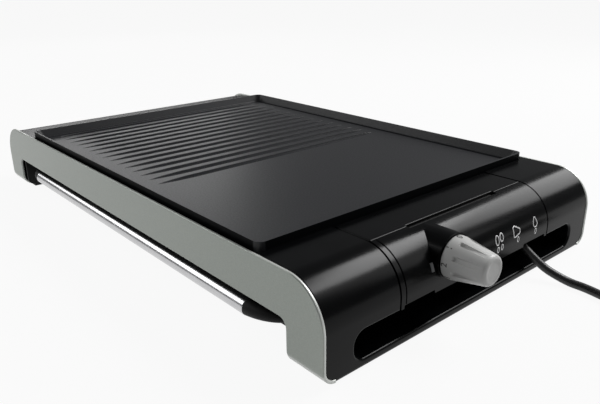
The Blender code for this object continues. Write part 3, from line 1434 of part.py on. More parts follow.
def coil_points():
    """A flat spiral in, a half turn that climbs one layer, and a spiral out on top of it."""
    turn_in, climb = COIL_TURNS_IN, 0.5
    total = turn_in + climb + COIL_TURNS_OUT
    points = []
    for step in range(round(total * COIL_STEPS) + 1):
        turns = step / COIL_STEPS
        inner = COIL_RADIUS - COIL_PITCH * turn_in
        if turns <= turn_in:
            radius, height = COIL_RADIUS - COIL_PITCH * turns, COIL_Z
        elif turns <= turn_in + climb:
            past = turns - turn_in
            radius = inner - COIL_PITCH * min(past, climb - past)
            height = COIL_Z + COIL_PITCH * ease(past / climb)
        else:
            radius, height = inner + COIL_PITCH * (turns - turn_in - climb), COIL_Z + COIL_PITCH
        angle = math.radians(-90) + turns * math.tau
        across, along = radius * math.cos(angle), radius * math.sin(angle)
        points.append(Vector((COIL_X + across, COIL_Y + along, height)))
    return [points[0] - Vector((COIL_LEAD, 0, 0)), *points, points[-1] + Vector((0, COIL_LEAD, 0))]


coil = coil_points()
least = min(
    (coil[a] - coil[b]).length
    for a in range(len(coil))
    for b in range(a + COIL_STEPS // 2, len(coil))
)
print(f"coil: least gap to itself {1000 * (least - 2 * CORD_RADIUS):.2f} mm")
tube("cord_coil", coil, CORD_RADIUS, control_frame, CORD_BLACK, resolution=1)

tail_start = coil[-1] + Vector((0, SEAT, 0))
LOOSE_END = [
    (0.0512, 0.0215, 0.0094),
    (0.0518, 0.0335, 0.0052),
    (0.0490, 0.0465, cord_z),
    (0.0425, 0.0585, 0.0050),
    (0.0325, 0.0687, 0.0100),
    (0.0215, 0.0755, 0.0160),
]
TAIL_ROUTE = [
    tail_start,
    tail_start + Vector((0, CORD_LEAD, 0)),
    *[(COIL_X + x, COIL_Y + y, z) for x, y, z in LOOSE_END],
    (PLUG_X + CORD_LEAD, PLUG_Y, PLUG_Z),
    (PLUG_X + SEAT, PLUG_Y, PLUG_Z),
]
tube("cord_tail", smooth_route(TAIL_ROUTE, CORD_RADIUS * 3), CORD_RADIUS, control_frame, CORD_BLACK)


def cord_tie():
    """A strap round the coil's bundle."""
    inner_r = COIL_RADIUS - COIL_PITCH * (COIL_TURNS_IN + 0.5) - CORD_RADIUS - SEAT
    outer_r = COIL_RADIUS + CORD_RADIUS + SEAT
    low, high = COIL_Z - CORD_RADIUS - SEAT, COIL_Z + COIL_PITCH + CORD_RADIUS + SEAT
    wall = TIE_WALL
    bend = CORD_RADIUS / 2
    inside = rounded_rectangle((inner_r, low), (outer_r, high), bend, 3)
    outside = rounded_rectangle((inner_r - wall, low - wall), (outer_r + wall, high + wall), bend + wall, 3)
    piece = prism(
        "cord_tie", [outside, inside], "Y", (-TIE_WIDTH / 2, TIE_WIDTH / 2), control_frame, CORD_BLACK
    )
    piece.location = (COIL_X, COIL_Y, 0)
    piece.rotation_euler = (0, 0, TIE_ANGLE)
    return piece


cord_tie()


def plug():
    """A moulded round plug that lies on its side, with its sleeve towards the cord."""
    sleeve, body = PLUG_SLEEVE, PLUG_RADIUS
    profile = [
        (0, PLUG_LENGTH),
        (body - PLUG_ROUND, PLUG_LENGTH),
        (body, PLUG_LENGTH - PLUG_ROUND),
        (body, PLUG_LENGTH - PLUG_COLLAR),
        (body - PLUG_ROUND * 2, PLUG_LENGTH - PLUG_COLLAR - PLUG_ROUND * 4),
        (PLUG_NECK_RADIUS, sleeve + PLUG_ROUND * 2),
        ((PLUG_NECK_RADIUS + PLUG_SLEEVE_RADIUS) / 2, sleeve),
        (PLUG_SLEEVE_RADIUS, 0),
        (0, 0),
    ]
    turned("plug", profile, (PLUG_X, PLUG_Y, PLUG_Z), (-1, 0, 0), control_frame, RUBBER, 28)
    face_x = PLUG_X - PLUG_LENGTH - SEAT
    for side, name in ((-1, "plug_pin_1"), (1, "plug_pin_2")):
        y = PLUG_Y + side * PLUG_PIN_SPACING / 2
        ends = ((face_x, y, PLUG_Z), (face_x - PLUG_PIN_LENGTH, y, PLUG_Z))
        rod(name, *ends, PLUG_PIN_RADIUS, control_frame, CHROME, sides=12)


plug()
bpy.context.view_layer.update()
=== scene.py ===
# %% [markdown]
# # A table grill in gloss black, grey-green metal and dark non-stick
#
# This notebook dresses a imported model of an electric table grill: two arched metal side panels, two
# rounded gloss black end housings, a ribbed cooking plate, a chrome handle under the near edge and a
# plug-in control unit with a silver knob. The construction comes ready-made as a frame of named solids.
# Here each visible piece gets its fine shape and its finish.

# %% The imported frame
import json
import math
from contextlib import contextmanager

import bmesh
import bpy
from mathutils import Matrix, Vector

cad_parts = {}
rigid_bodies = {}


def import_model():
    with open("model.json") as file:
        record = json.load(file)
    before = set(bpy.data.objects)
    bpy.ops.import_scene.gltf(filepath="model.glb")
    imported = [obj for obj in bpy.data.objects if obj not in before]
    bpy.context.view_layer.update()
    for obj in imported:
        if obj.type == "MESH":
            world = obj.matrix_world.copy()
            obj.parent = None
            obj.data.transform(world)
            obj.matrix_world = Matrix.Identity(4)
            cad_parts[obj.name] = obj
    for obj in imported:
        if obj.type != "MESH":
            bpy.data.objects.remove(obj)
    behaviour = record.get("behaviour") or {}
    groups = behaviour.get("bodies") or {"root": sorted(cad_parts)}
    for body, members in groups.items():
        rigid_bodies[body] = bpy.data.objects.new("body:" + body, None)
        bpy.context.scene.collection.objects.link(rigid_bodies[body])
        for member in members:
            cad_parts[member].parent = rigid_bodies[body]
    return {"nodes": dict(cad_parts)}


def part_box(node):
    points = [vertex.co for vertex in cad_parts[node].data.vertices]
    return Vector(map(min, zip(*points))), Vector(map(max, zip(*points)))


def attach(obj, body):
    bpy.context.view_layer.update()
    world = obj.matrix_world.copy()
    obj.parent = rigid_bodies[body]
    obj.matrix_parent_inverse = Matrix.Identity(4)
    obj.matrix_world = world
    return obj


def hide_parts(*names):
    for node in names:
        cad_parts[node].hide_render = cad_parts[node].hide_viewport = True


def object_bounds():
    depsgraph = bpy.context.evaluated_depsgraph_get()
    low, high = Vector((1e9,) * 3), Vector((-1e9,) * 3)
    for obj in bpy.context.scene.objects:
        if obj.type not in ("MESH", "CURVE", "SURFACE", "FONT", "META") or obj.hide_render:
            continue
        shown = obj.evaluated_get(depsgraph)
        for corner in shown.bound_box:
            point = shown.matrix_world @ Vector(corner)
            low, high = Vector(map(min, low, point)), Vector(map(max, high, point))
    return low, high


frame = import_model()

cad_low, cad_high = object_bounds()
cad_size = [high - low for low, high in zip(cad_low, cad_high)]
print("frame:", len(frame["nodes"]), "nodes,", [round(1000 * side) for side in cad_size], "mm")

# %% [markdown]
# ## Where things are
#
# Every size here is in metres. The places come from the frame's own boxes, so that each new piece lies
# where the solid that it stands for lies. Lengths along the grill are counted from the middle of its
# body, MID_X.


# %% Boxes of the solids
def box(node):
    """The low and the high corner of a node's box."""
    return [Vector(corner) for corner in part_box(node)]


PANEL_LOW, PANEL_HIGH = box("side_panel_near")
MID_X = (PANEL_LOW.x + PANEL_HIGH.x) / 2
HALF_LENGTH = (PANEL_HIGH.x - PANEL_LOW.x) / 2
HALF_WIDTH = -PANEL_LOW.y
BODY_TOP, BODY_FOOT = PANEL_HIGH.z, PANEL_LOW.z
PLATE_LOW, PLATE_HIGH = box("grill_plate")
FRONT_LOW, FRONT_HIGH = box("front_cover")
FASCIA_LOW, FASCIA_HIGH = box("control_fascia")
KNOB_LOW, KNOB_HIGH = box("knob")
KNOB_Y, KNOB_Z = (KNOB_LOW.y + KNOB_HIGH.y) / 2, (KNOB_LOW.z + KNOB_HIGH.z) / 2
SEAT = 0.0003        # the play between a visible piece and its neighbour
CLEAR = 0.01         # how far a cutter reaches past the piece that it cuts
print("body:", round(2000 * HALF_LENGTH), "mm long, middle at x", round(MID_X, 4))

# %% [markdown]
# ## Camera
#
# The picture was taken from the control end, a little above the table. A camera is a position and three
# directions: here they are built from two angles and a slight roll, the way a tripod is set.


# %% Camera
def camera_turn(azimuth, elevation, roll):
    """Columns are the camera's right, its up and what lies behind it."""
    flat = math.cos(elevation)
    ahead = Vector((-math.sin(azimuth) * flat, math.cos(azimuth) * flat, -math.sin(elevation)))
    right = Vector((math.cos(azimuth), math.sin(azimuth), 0))
    up = right.cross(ahead)
    rolled_right = right * math.cos(roll) + up * math.sin(roll)
    rolled_up = up * math.cos(roll) - right * math.sin(roll)
    return Matrix((rolled_right, rolled_up, -ahead)).transposed()


CAMERA_PLACE = Vector((MID_X + 0.5176, -0.3842, 0.2442))
CAMERA_ANGLES = [math.radians(angle) for angle in (49.26, 20.34, -0.644)]
LENS, SENSOR = 37.55, 36        # millimetres
camera_data = bpy.data.cameras.new("camera")
camera_data.lens, camera_data.sensor_width = LENS, SENSOR
camera_data.clip_start = 0.01
camera = bpy.data.objects.new("camera", camera_data)
camera.matrix_world = Matrix.Translation(CAMERA_PLACE) @ camera_turn(*CAMERA_ANGLES).to_4x4()
bpy.context.scene.collection.objects.link(camera)
bpy.context.scene.camera = camera
print("camera:", LENS, "mm lens,", round(CAMERA_PLACE.length, 3), "m from the frame's origin")

# %% [markdown]
# ## Working by hand, in code
#
# Modelling operators act on whatever is selected and on the mode that Blender is in. These few helpers
# do what a hand does with the mouse: choose a piece, open it for editing, pick edges or faces by where
# they are, cut one piece with another, and round off what is sharp.


# %% Helpers for modelling
def choose(*pieces):
    """Select these pieces alone; the first is the active one."""
    bpy.ops.object.select_all(action="DESELECT")
    for piece in pieces:
        piece.select_set(True)
    if pieces:
        bpy.context.view_layer.objects.active = pieces[0]


@contextmanager
def editing(piece):
    choose(piece)
    bpy.ops.object.mode_set(mode="EDIT")
    bpy.ops.mesh.select_all(action="DESELECT")
    yield
    bpy.ops.object.mode_set(mode="OBJECT")


def pick(kind, test):
    """Select the vertices, edges or faces of the open piece that pass a test."""
    bpy.ops.mesh.select_mode(type=kind)
    bpy.ops.mesh.select_all(action="DESELECT")
    bm = bmesh.from_edit_mesh(bpy.context.edit_object.data)
    bm.normal_update()
    for item in {"VERT": bm.verts, "EDGE": bm.edges, "FACE": bm.faces}[kind]:
        if test(item):
            item.select_set(True)
    bm.select_flush_mode()
    bmesh.update_edit_mesh(bpy.context.edit_object.data)


def middle(item):
    return sum((corner.co for corner in item.verts), Vector()) / len(item.verts)


def runs(edge, axis):
    """Whether an edge runs along x, y or z, given as 0, 1 or 2."""
    span = edge.verts[1].co - edge.verts[0].co
    return abs(span[axis]) > 0.999 * span.length


def near(value, target):
    return abs(value - target) < SEAT / 3


def edge_at(run, **places):
    """A test for edges that run along an axis and lie at the places given by axis name."""
    return lambda e: runs(e, run) and all(
        near(getattr(middle(e), axis), place) for axis, place in places.items()
    )


def faces_along(axis, sign):
    """A test for faces that look along x, y or z, given as 0, 1 or 2, one way or the other."""
    return lambda f: sign * f.normal[axis] > 0.99


def block(name, corner_low, corner_high):
    centre = [(a + b) / 2 for a, b in zip(corner_low, corner_high)]
    size = [b - a for a, b in zip(corner_low, corner_high)]
    choose()
    bpy.ops.mesh.primitive_cube_add(size=1, location=centre, scale=size)
    return named(name)


def drum(name, start, radius, length, sides, axis="X"):
    """A cylinder that starts at a point and runs along an axis."""
    turn = {"X": (0, math.radians(90), 0), "Y": (math.radians(-90), 0, 0), "Z": (0, 0, 0)}[axis]
    centre = Vector(start)
    centre["XYZ".index(axis)] += length / 2
    choose()
    size = {"vertices": sides, "radius": radius, "depth": length}
    bpy.ops.mesh.primitive_cylinder_add(location=centre, rotation=turn, **size)
    return named(name)


def named(name):
    piece = bpy.context.object
    piece.name = piece.data.name = name
    bpy.ops.object.transform_apply(location=True, rotation=True, scale=True)
    return piece


def bevel_where(test, width, segments):
    """Round the edges of the open piece that pass a test."""
    pick("EDGE", test)
    bpy.ops.mesh.bevel(offset=width, segments=segments, affect="EDGES")


def extrude(x, y, z):
    """Extrude what is picked in the open piece by a shift."""
    bpy.ops.mesh.extrude_region_move(TRANSFORM_OT_translate={"value": (x, y, z)})


def inset(thickness, depth=0):
    """Inset the picked faces of the open piece, and raise or sink what is inside."""
    bpy.ops.mesh.inset(thickness=thickness, depth=depth)


def slice_at(place, axis, clear_inner=False):
    """Cut the open piece by a plane across an axis."""
    bpy.ops.mesh.select_all(action="SELECT")
    bpy.ops.mesh.bisect(plane_co=axis * place, plane_no=axis, clear_inner=clear_inner)


def apply_new(piece, kind, **settings):
    choose(piece)
    step = piece.modifiers.new(kind.lower(), kind)
    for name, value in settings.items():
        setattr(step, name, value)
    bpy.ops.object.modifier_apply(modifier=step.name)


def carve(piece, tool, operation="DIFFERENCE"):
    apply_new(piece, "BOOLEAN", operation=operation, object=tool, solver="EXACT")
    bpy.data.objects.remove(tool, do_unlink=True)


def carve_box(piece, corner_low, corner_high, *roundings):
    """Cut a box away. Each rounding of the box is a test of its edges, a width and some segments."""
    tool = block("cutter", corner_low, corner_high)
    for rounding in roundings:
        with editing(tool):
            bevel_where(*rounding)
    carve(piece, tool)


def soften(piece, width, segments=2, angle=32):
    """Break every sharp edge by a small bevel."""
    settings = {"limit_method": "ANGLE", "miter_outer": "MITER_ARC", "use_clamp_overlap": True}
    apply_new(piece, "BEVEL", width=width, segments=segments, angle_limit=math.radians(angle), **settings)


def clean(piece):
    """Merge points that coincide and turn the faces outwards."""
    with editing(piece):
        bpy.ops.mesh.select_all(action="SELECT")
        bpy.ops.mesh.remove_doubles(threshold=0.00001)
        bpy.ops.mesh.normals_make_consistent(inside=False)


def settle(piece, body, surface, stands_for=(), edge=None, angle=38):
    """Clean the piece and break its edges, smooth it, give it its surface and hang it on its body."""
    if edge:
        clean(piece)
        soften(piece, *edge)
    choose(piece)
    bpy.ops.object.shade_smooth_by_angle(angle=math.radians(angle))
    apply_new(piece, "WEIGHTED_NORMAL", keep_sharp=True)
    piece.data.materials.clear()
    piece.data.materials.append(surface)
    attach(piece, body)
    if stands_for:
        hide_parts(*stands_for)
    print(piece.name, len(piece.data.polygons), "faces")
    return piece


def as_mesh(item):
    """Turn a curve or a text into a mesh."""
    choose(item)
    bpy.ops.object.convert(target="MESH")
    return bpy.context.object


def joined(name, pieces):
    choose(*pieces)
    bpy.ops.object.join()
    return named(name)


def turned_copy(piece, name, turn):
    """A copy with its own mesh, turned by a matrix."""
    twin = piece.copy()
    twin.data = piece.data.copy()
    twin.name = twin.data.name = name
    bpy.context.scene.collection.objects.link(twin)
    twin.data.transform(turn)
    return twin


# %% [markdown]
# ## Finishes
#
# Each finish is a small graph on Object coordinates, so that the pattern stays at its real size and
# stays put on the piece. Noise gives what a real surface has: orange peel in paint, a fine grain in
# moulded plastic, faint wipe marks on gloss, speckles in a non-stick coating.


# %% Building blocks of a finish
def finish_named(name, roughness, metallic=0.0, **sockets):
    surface = bpy.data.materials.new(name)
    surface.use_nodes = True
    shader = surface.node_tree.nodes["Principled BSDF"]
    for socket, value in {"Roughness": roughness, "Metallic": metallic, **sockets}.items():
        shader.inputs[socket.replace("_", " ")].default_value = value
    return surface


def noise(surface, scale, detail=3.0, stretch=(1, 1, 1)):
    """A noise pattern of so many cells a metre; stretch draws it out along an axis."""
    tree = surface.node_tree
    place = tree.nodes.new("ShaderNodeTexCoord")
    mapping = tree.nodes.new("ShaderNodeMapping")
    mapping.inputs["Scale"].default_value = stretch
    pattern = tree.nodes.new("ShaderNodeTexNoise")
    pattern.inputs["Scale"].default_value = scale
    pattern.inputs["Detail"].default_value = detail
    tree.links.new(place.outputs["Object"], mapping.inputs["Vector"])
    tree.links.new(mapping.outputs["Vector"], pattern.inputs["Vector"])
    return pattern.outputs["Fac"]


def feed(surface, socket, source):
    surface.node_tree.links.new(source, surface.node_tree.nodes["Principled BSDF"].inputs[socket])


def vary(surface, socket, factor, first, last, start=0.35, end=0.65):
    """Let a pattern lead a socket from one colour or grey to another."""
    ramp = surface.node_tree.nodes.new("ShaderNodeValToRGB")
    ramp.color_ramp.elements[0].position = start
    ramp.color_ramp.elements[1].position = end
    for element, value in zip(ramp.color_ramp.elements, (first, last)):
        element.color = (*value, 1) if isinstance(value, tuple) else (value, value, value, 1)
    surface.node_tree.links.new(factor, ramp.inputs["Fac"])
    feed(surface, socket, ramp.outputs["Color"])


def relief(surface, factor, height, strength):
    """Bump of a real height in metres."""
    bump = surface.node_tree.nodes.new("ShaderNodeBump")
    bump.inputs["Distance"].default_value = height
    bump.inputs["Strength"].default_value = strength
    surface.node_tree.links.new(factor, bump.inputs["Height"])
    feed(surface, "Normal", bump.outputs["Normal"])


def worked_out(surface, operation, *terms):
    """The result of a Math node; each term is another node's output or a plain number."""
    node = surface.node_tree.nodes.new("ShaderNodeMath")
    node.operation = operation
    for socket, term in zip(node.inputs, terms):
        if isinstance(term, bpy.types.NodeSocket):
            surface.node_tree.links.new(term, socket)
        else:
            socket.default_value = term
    return node.outputs[0]


def beyond(surface, axis, centre, start, end):
    """0 up to a distance from a middle plane and 1 past it; the other way when start is the larger."""
    tree = surface.node_tree
    place = tree.nodes.new("ShaderNodeTexCoord")
    split = tree.nodes.new("ShaderNodeSeparateXYZ")
    run = tree.nodes.new("ShaderNodeMapRange")
    run.inputs["From Min"].default_value, run.inputs["From Max"].default_value = start, end
    tree.links.new(place.outputs["Object"], split.inputs["Vector"])
    offset = worked_out(surface, "SUBTRACT", split.outputs[axis], centre)
    tree.links.new(worked_out(surface, "ABSOLUTE", offset), run.inputs["Value"])
    return run.outputs["Result"]


def retone(surface, factor, tone):
    """Draw the base colour towards another tone by a factor."""
    tree = surface.node_tree
    socket = tree.nodes["Principled BSDF"].inputs["Base Color"]
    mix = tree.nodes.new("ShaderNodeMix")
    mix.data_type = "RGBA"
    tree.links.new(socket.links[0].from_socket, mix.inputs["A"])
    mix.inputs["B"].default_value = (*tone, 1)
    tree.links.new(factor, mix.inputs["Factor"])
    feed(surface, "Base Color", mix.outputs["Result"])


# %% [markdown]
# ### Metals
#
# The side panels are painted in a grey-green with metal flakes: tiny cells of lighter and darker colour
# and a faint orange peel. On the sheet's own edge, behind the outer face, a paler tone is painted in: a
# painted highlight for the edge that catches the light from above. The bar is chrome with slight wipe
# marks. Sheet steel is brushed, so its noise is drawn out along one axis.

# %% Metal finishes
panel_paint = finish_named("panel_paint_flaked", 0.36, 0.30, Coat_Weight=0.15, Coat_Roughness=0.2)
flakes = noise(panel_paint, 2600, 2)
vary(panel_paint, "Base Color", flakes, (0.33, 0.362, 0.325), (0.405, 0.440, 0.400))
relief(panel_paint, noise(panel_paint, 900, 2), 0.00002, 0.25)
# Painted highlight: past the outer face, the sheet's thin edge is drawn to a pale tone, as if lit from
# above.
FACE_END, EDGE_START = HALF_WIDTH - 0.0003, HALF_WIDTH - 0.0007
retone(panel_paint, beyond(panel_paint, "Y", 0, FACE_END, EDGE_START), (0.66, 0.68, 0.65))

chrome = finish_named("chrome_polished", 0.08, 1.0)
vary(chrome, "Base Color", noise(chrome, 60), (0.53, 0.53, 0.54), (0.57, 0.57, 0.58))
vary(chrome, "Roughness", noise(chrome, 60, 2), 0.22, 0.25)


def sheet_finish(name, dark, light, rough_low, rough_high, stretch):
    """Metal whose grain is drawn out along x where the stretch is small."""
    surface = finish_named(name, rough_low, 1.0)
    grain, patches = noise(surface, 900, 4, (stretch, 1, 1)), noise(surface, 300, 3, (stretch, 1, 1))
    vary(surface, "Base Color", grain, dark, light)
    vary(surface, "Roughness", patches, rough_low, rough_high)
    relief(surface, grain, 0.00002, 0.3)
    return surface


sheet_steel = sheet_finish("sheet_steel_brushed", (0.46, 0.46, 0.45), (0.60, 0.60, 0.58), 0.24, 0.38, 0.05)
scale_dark, scale_light = (0.10, 0.085, 0.075), (0.22, 0.20, 0.19)
sheath_steel = sheet_finish("sheath_steel_heat_dark", scale_dark, scale_light, 0.38, 0.55, 1)
brass = sheet_finish("brass_plain", (0.60, 0.46, 0.22), (0.74, 0.60, 0.32), 0.22, 0.36, 0.1)

# %% [markdown]
# ### Plastics, rubber and ceramic
#
# The housings are black plastic with a high gloss. Gloss black is mostly what it mirrors, so the colour
# itself stays near zero and the roughness carries faint wipe marks. The hidden pieces are matt, with a
# fine spark-eroded grain.

# %% Plastic finishes
gloss_black = finish_named("gloss_black_moulded", 0.27, Specular_IOR_Level=0.11)
clouds, wipes = noise(gloss_black, 35), noise(gloss_black, 90, 5, (1, 0.4, 1))
vary(gloss_black, "Base Color", clouds, (0.0012, 0.0013, 0.0015), (0.0022, 0.0024, 0.0027))
vary(gloss_black, "Roughness", wipes, 0.200, 0.212)
relief(gloss_black, noise(gloss_black, 260, 2), 0.000015, 0.15)


def grained(name, dark, light, rough_low, rough_high, cells, height, **sockets):
    """A moulded, pressed or printed surface with a grain of a real height."""
    surface = finish_named(name, rough_high, **sockets)
    grain = noise(surface, cells, 3)
    vary(surface, "Base Color", noise(surface, 40, 4), dark, light)
    vary(surface, "Roughness", grain, rough_low, rough_high)
    relief(surface, grain, height, 0.5)
    return surface


dull_skin = {"Specular_IOR_Level": 0.2}
matt_black = grained("matt_black_grained", 0.010, 0.018, 0.50, 0.66, 1800, 0.00004, **dull_skin)
rubber = grained("rubber_matt", 0.012, 0.020, 0.66, 0.82, 1400, 0.00004)
ceramic = grained("ceramic_pressed", (0.64, 0.60, 0.53), (0.76, 0.73, 0.67), 0.5, 0.7, 1100, 0.00003)
cord_sheath = grained("cord_sheath_smooth", 0.008, 0.013, 0.34, 0.46, 700, 0.00002)
silver_low, silver_high = (0.52, 0.52, 0.51), (0.58, 0.58, 0.57)
satin_silver = grained("satin_silver_lacquer", silver_low, silver_high, 0.32, 0.40, 2400, 0.00001)
pale_lens = grained("pale_lens_clear", (0.24, 0.245, 0.25), 0.32, 0.10, 0.20, 500, 0.00001)
mark_white = grained("mark_white_print", 0.72, 0.84, 0.40, 0.52, 2000, 0.00001)
mark_dark = grained("mark_dark_print", 0.05, 0.09, 0.40, 0.52, 2000, 0.00001)

# %% [markdown]
# ### Non-stick coating
#
# The coating is sprayed in layers: a dark ground with lighter specks of a fraction of a millimetre, and
# a skin that is rough enough to spread a lamp into a wide soft sheen. Two masks read where the surface
# lies: the plate's outside is painted nearly black and made to shine less, a painted shade for sides
# that stay unlit, and what is sunk below the floor, the grooves, shines less.

# %% Non-stick finish
DISH = 0.0080
SUNK_START, SUNK_END = 0.0001, 0.0006        # below the dish's floor
SKIN_START, SKIN_END = 0.0002, 0.00005        # within the plate's sides
non_stick = finish_named("non_stick_sprayed", 0.42, Specular_IOR_Level=0.30)
ground, speck = (0.017, 0.0175, 0.0192), (0.036, 0.037, 0.0405)
vary(non_stick, "Base Color", noise(non_stick, 2200, 2), ground, speck, 0.5, 0.72)
vary(non_stick, "Roughness", noise(non_stick, 700, 3), 0.34, 0.44)
relief(non_stick, noise(non_stick, 1500, 3), 0.00003, 0.3)
skirts = []
for index, axis in enumerate("XY"):
    half = (PLATE_HIGH[index] - PLATE_LOW[index]) / 2
    centre = (PLATE_HIGH[index] + PLATE_LOW[index]) / 2
    skirts.append(beyond(non_stick, axis, centre, half - SKIN_START, half - SKIN_END))
# Painted shade: the plate's outer sides are drawn to near black and dulled, as if no lamp reached them.
shaded_skirt = worked_out(non_stick, "MAXIMUM", *skirts)
retone(non_stick, shaded_skirt, (0.003, 0.0033, 0.0037))
sunk = beyond(non_stick, "Z", PLATE_HIGH.z, DISH + SUNK_START, DISH + SUNK_END)
dull = worked_out(non_stick, "MAXIMUM", shaded_skirt, sunk)
vary(non_stick, "Specular IOR Level", dull, 0.30, 0.02, 0, 1)
print("finishes:", len(bpy.data.materials), "materials")

# %% [markdown]
# ## Side panels
#
# Each panel is one pressed sheet: a long arch between two legs, round top corners, and legs that curl in
# under the body. A thin block is rounded at its top corners, the arch is cut out of it, and the legs'
# end faces are then spun a quarter turn, just as a press brake would fold them.

# %% Side panels
PANEL_WALL = 0.0025
PANEL_CURL = 0.0113
END_ROUND = 0.034
LEG_LENGTH = 0.0358
PANEL_TOP, PANEL_FOOT = BODY_TOP - 0.0008, BODY_FOOT + 0.0010
ARCH_TOP = BODY_TOP - 0.0360
ARCH_FILLET = 0.007


def side_panel(name, side, node):
    faces = sorted((side * HALF_WIDTH, side * (HALF_WIDTH - PANEL_WALL)))
    curl_z = PANEL_FOOT + PANEL_CURL
    panel = block(name, (PANEL_LOW.x, faces[0], curl_z), (PANEL_HIGH.x, faces[1], PANEL_TOP))
    with editing(panel):
        bevel_where(lambda e: runs(e, 1) and middle(e).z > ARCH_TOP, END_ROUND, 24)
    carve_box(
        panel,
        (PANEL_LOW.x + LEG_LENGTH, faces[0] - PANEL_WALL, 0),
        (PANEL_HIGH.x - LEG_LENGTH, faces[1] + PANEL_WALL, ARCH_TOP),
        (edge_at(1, z=ARCH_TOP), ARCH_FILLET, 10),
    )
    with editing(panel):
        pick("FACE", lambda f: f.normal.z < -0.99 and near(middle(f).z, curl_z))
        centre = (0, side * (HALF_WIDTH - PANEL_CURL), curl_z)
        bpy.ops.mesh.spin(steps=9, angle=math.radians(90 * side), center=centre, axis=(1, 0, 0))
    settle(panel, "body", panel_paint, [node], (0.0009, 3))


side_panel("near_panel", -1, "side_panel_near")
side_panel("far_panel", 1, "side_panel_far")

# %% [markdown]
# ## End housings
#
# A housing is a thin moulded shell that rounds over from the deck to the end face. A block is rounded,
# its hidden faces are deleted and a Solidify modifier gives the skin its wall. The front one carries a
# hand recess: a box is joined on behind the skin and hollowed by a long rounded pocket, whose rim is
# rounded, and the bay for the control unit is cut away above it.

# %% Shells of the end housings
COVER_WALL = 0.0025
COVER_ROUND = END_ROUND - 0.0008
COVER_SIDE_ROUND = PANEL_CURL - PANEL_WALL - SEAT
COVER_STEP = PANEL_FOOT + PANEL_CURL - COVER_SIDE_ROUND - BODY_FOOT
FRONT_FOOT_ROUND, REAR_FOOT_ROUND = 0.0029, COVER_WALL / 4
REAR_DECK_SINK = 0.0025
COVER_LIP = 0.0070


def open_face(face):
    """Whether a face is on a side or at the foot, where a shell stays open."""
    return abs(face.normal.y) > 0.99 or face.normal.z < -0.99


def give_a_wall(skin):
    apply_new(skin, "SOLIDIFY", thickness=COVER_WALL, offset=-1, use_even_offset=True)


def housing_shell(name, node, side, foot_round, sink=0.0):
    box_low, box_high = box(node)
    box_high.z -= sink
    end_x, lip_x = (box_high.x, box_low.x) if side > 0 else (box_low.x, box_high.x)
    shell = block(name, box_low, box_high)
    with editing(shell):
        bevel_where(edge_at(1, z=box_high.z, x=end_x), COVER_ROUND, 28)
        bevel_where(edge_at(1, z=box_low.z, x=end_x), foot_round, 5)
        behind = faces_along(0, -side)
        pick("FACE", lambda f: open_face(f) or (behind(f) and near(middle(f).x, lip_x)))
        bpy.ops.mesh.delete(type="FACE")
        pick("EDGE", edge_at(1, x=lip_x))
        extrude(0, 0, -COVER_LIP)
    clean(shell)
    give_a_wall(shell)
    return shell


def round_the_curl(shell, node):
    """Clip the shell's lower sides to the inside of the panels' curl, with a step where the curl ends."""
    box_low, box_high = box(node)
    start, end = box_low + Vector((-CLEAR, 0, COVER_STEP)), box_high + Vector((CLEAR, 0, CLEAR))
    keep = block("curl_form", start, end)
    with editing(keep):
        bevel_where(edge_at(0, z=start.z), COVER_SIDE_ROUND, 8)
        pick("FACE", lambda f: f.normal.z < -0.9999)
        inset(SEAT, COVER_STEP)
    carve(shell, keep, "INTERSECT")


# %% Front housing with its hand recess
RECESS_DEPTH = 0.0267
RECESS_LOW_Z, RECESS_HIGH_Z = 0.0082, 0.0296
RECESS_HALF = 0.1375
RECESS_CORNER, RECESS_FLOOR_ROUND = 0.0095, 0.003
RECESS_RIM = 0.0021
LINER_SETBACK = 0.0108
CONTROL_HALF, BAY_GAP = FASCIA_HIGH.y, 0.0016
FRONT_X = FRONT_HIGH.x


def front_housing():
    shell = housing_shell("front_housing", "front_cover", 1, FRONT_FOOT_ROUND)
    liner_half, liner_front = HALF_WIDTH - LINER_SETBACK, FRONT_X - COVER_WALL / 2
    recess_x = FRONT_X - RECESS_DEPTH
    liner = block(
        "recess_liner",
        (recess_x - COVER_WALL, -liner_half, FRONT_LOW.z),
        (liner_front, liner_half, RECESS_HIGH_Z + COVER_WALL),
    )
    with editing(liner):
        bevel_where(edge_at(1, z=FRONT_LOW.z, x=liner_front), FRONT_FOOT_ROUND, 5)
    carve(shell, liner, "UNION")
    round_the_curl(shell, "front_cover")
    carve_box(
        shell,
        (recess_x, -RECESS_HALF, RECESS_LOW_Z),
        (FRONT_X + CLEAR, RECESS_HALF, RECESS_HIGH_Z),
        (edge_at(0), RECESS_CORNER, 10),
        (lambda e: near(middle(e).x, recess_x), RECESS_FLOOR_ROUND, 4),
    )
    clean(shell)
    with editing(shell):
        bevel_where(
            lambda e: all(near(v.co.x, FRONT_X) and abs(v.co.y) < RECESS_HALF + SEAT for v in e.verts)
            and min(v.co.z for v in e.verts) > RECESS_LOW_Z - SEAT
            and max(v.co.z for v in e.verts) < RECESS_HIGH_Z + SEAT
            and any(abs(f.normal.x) < 0.5 for f in e.link_faces),
            RECESS_RIM,
            6,
        )
    bay_half = CONTROL_HALF + BAY_GAP
    carve_box(
        shell,
        (FRONT_LOW.x - CLEAR, -bay_half, RECESS_HIGH_Z - SEAT / 2),
        (FRONT_X + CLEAR, bay_half, BODY_TOP + CLEAR),
    )
    settle(shell, "body", gloss_black, ["front_cover"], (0.0009, 3))


front_housing()

# %% Rear housing
rear_shell = housing_shell("rear_housing", "rear_cover", -1, REAR_FOOT_ROUND, REAR_DECK_SINK)
round_the_curl(rear_shell, "rear_cover")
settle(rear_shell, "body", gloss_black, ["rear_cover"], (0.0005, 3))

# %% [markdown]
# ### Front base
#
# The base under the control end keeps its solid's form. Only the two ends of its leg wall are set back
# behind the panels' legs, so that they don't show beside them. A copy of the solid is merged and notched.

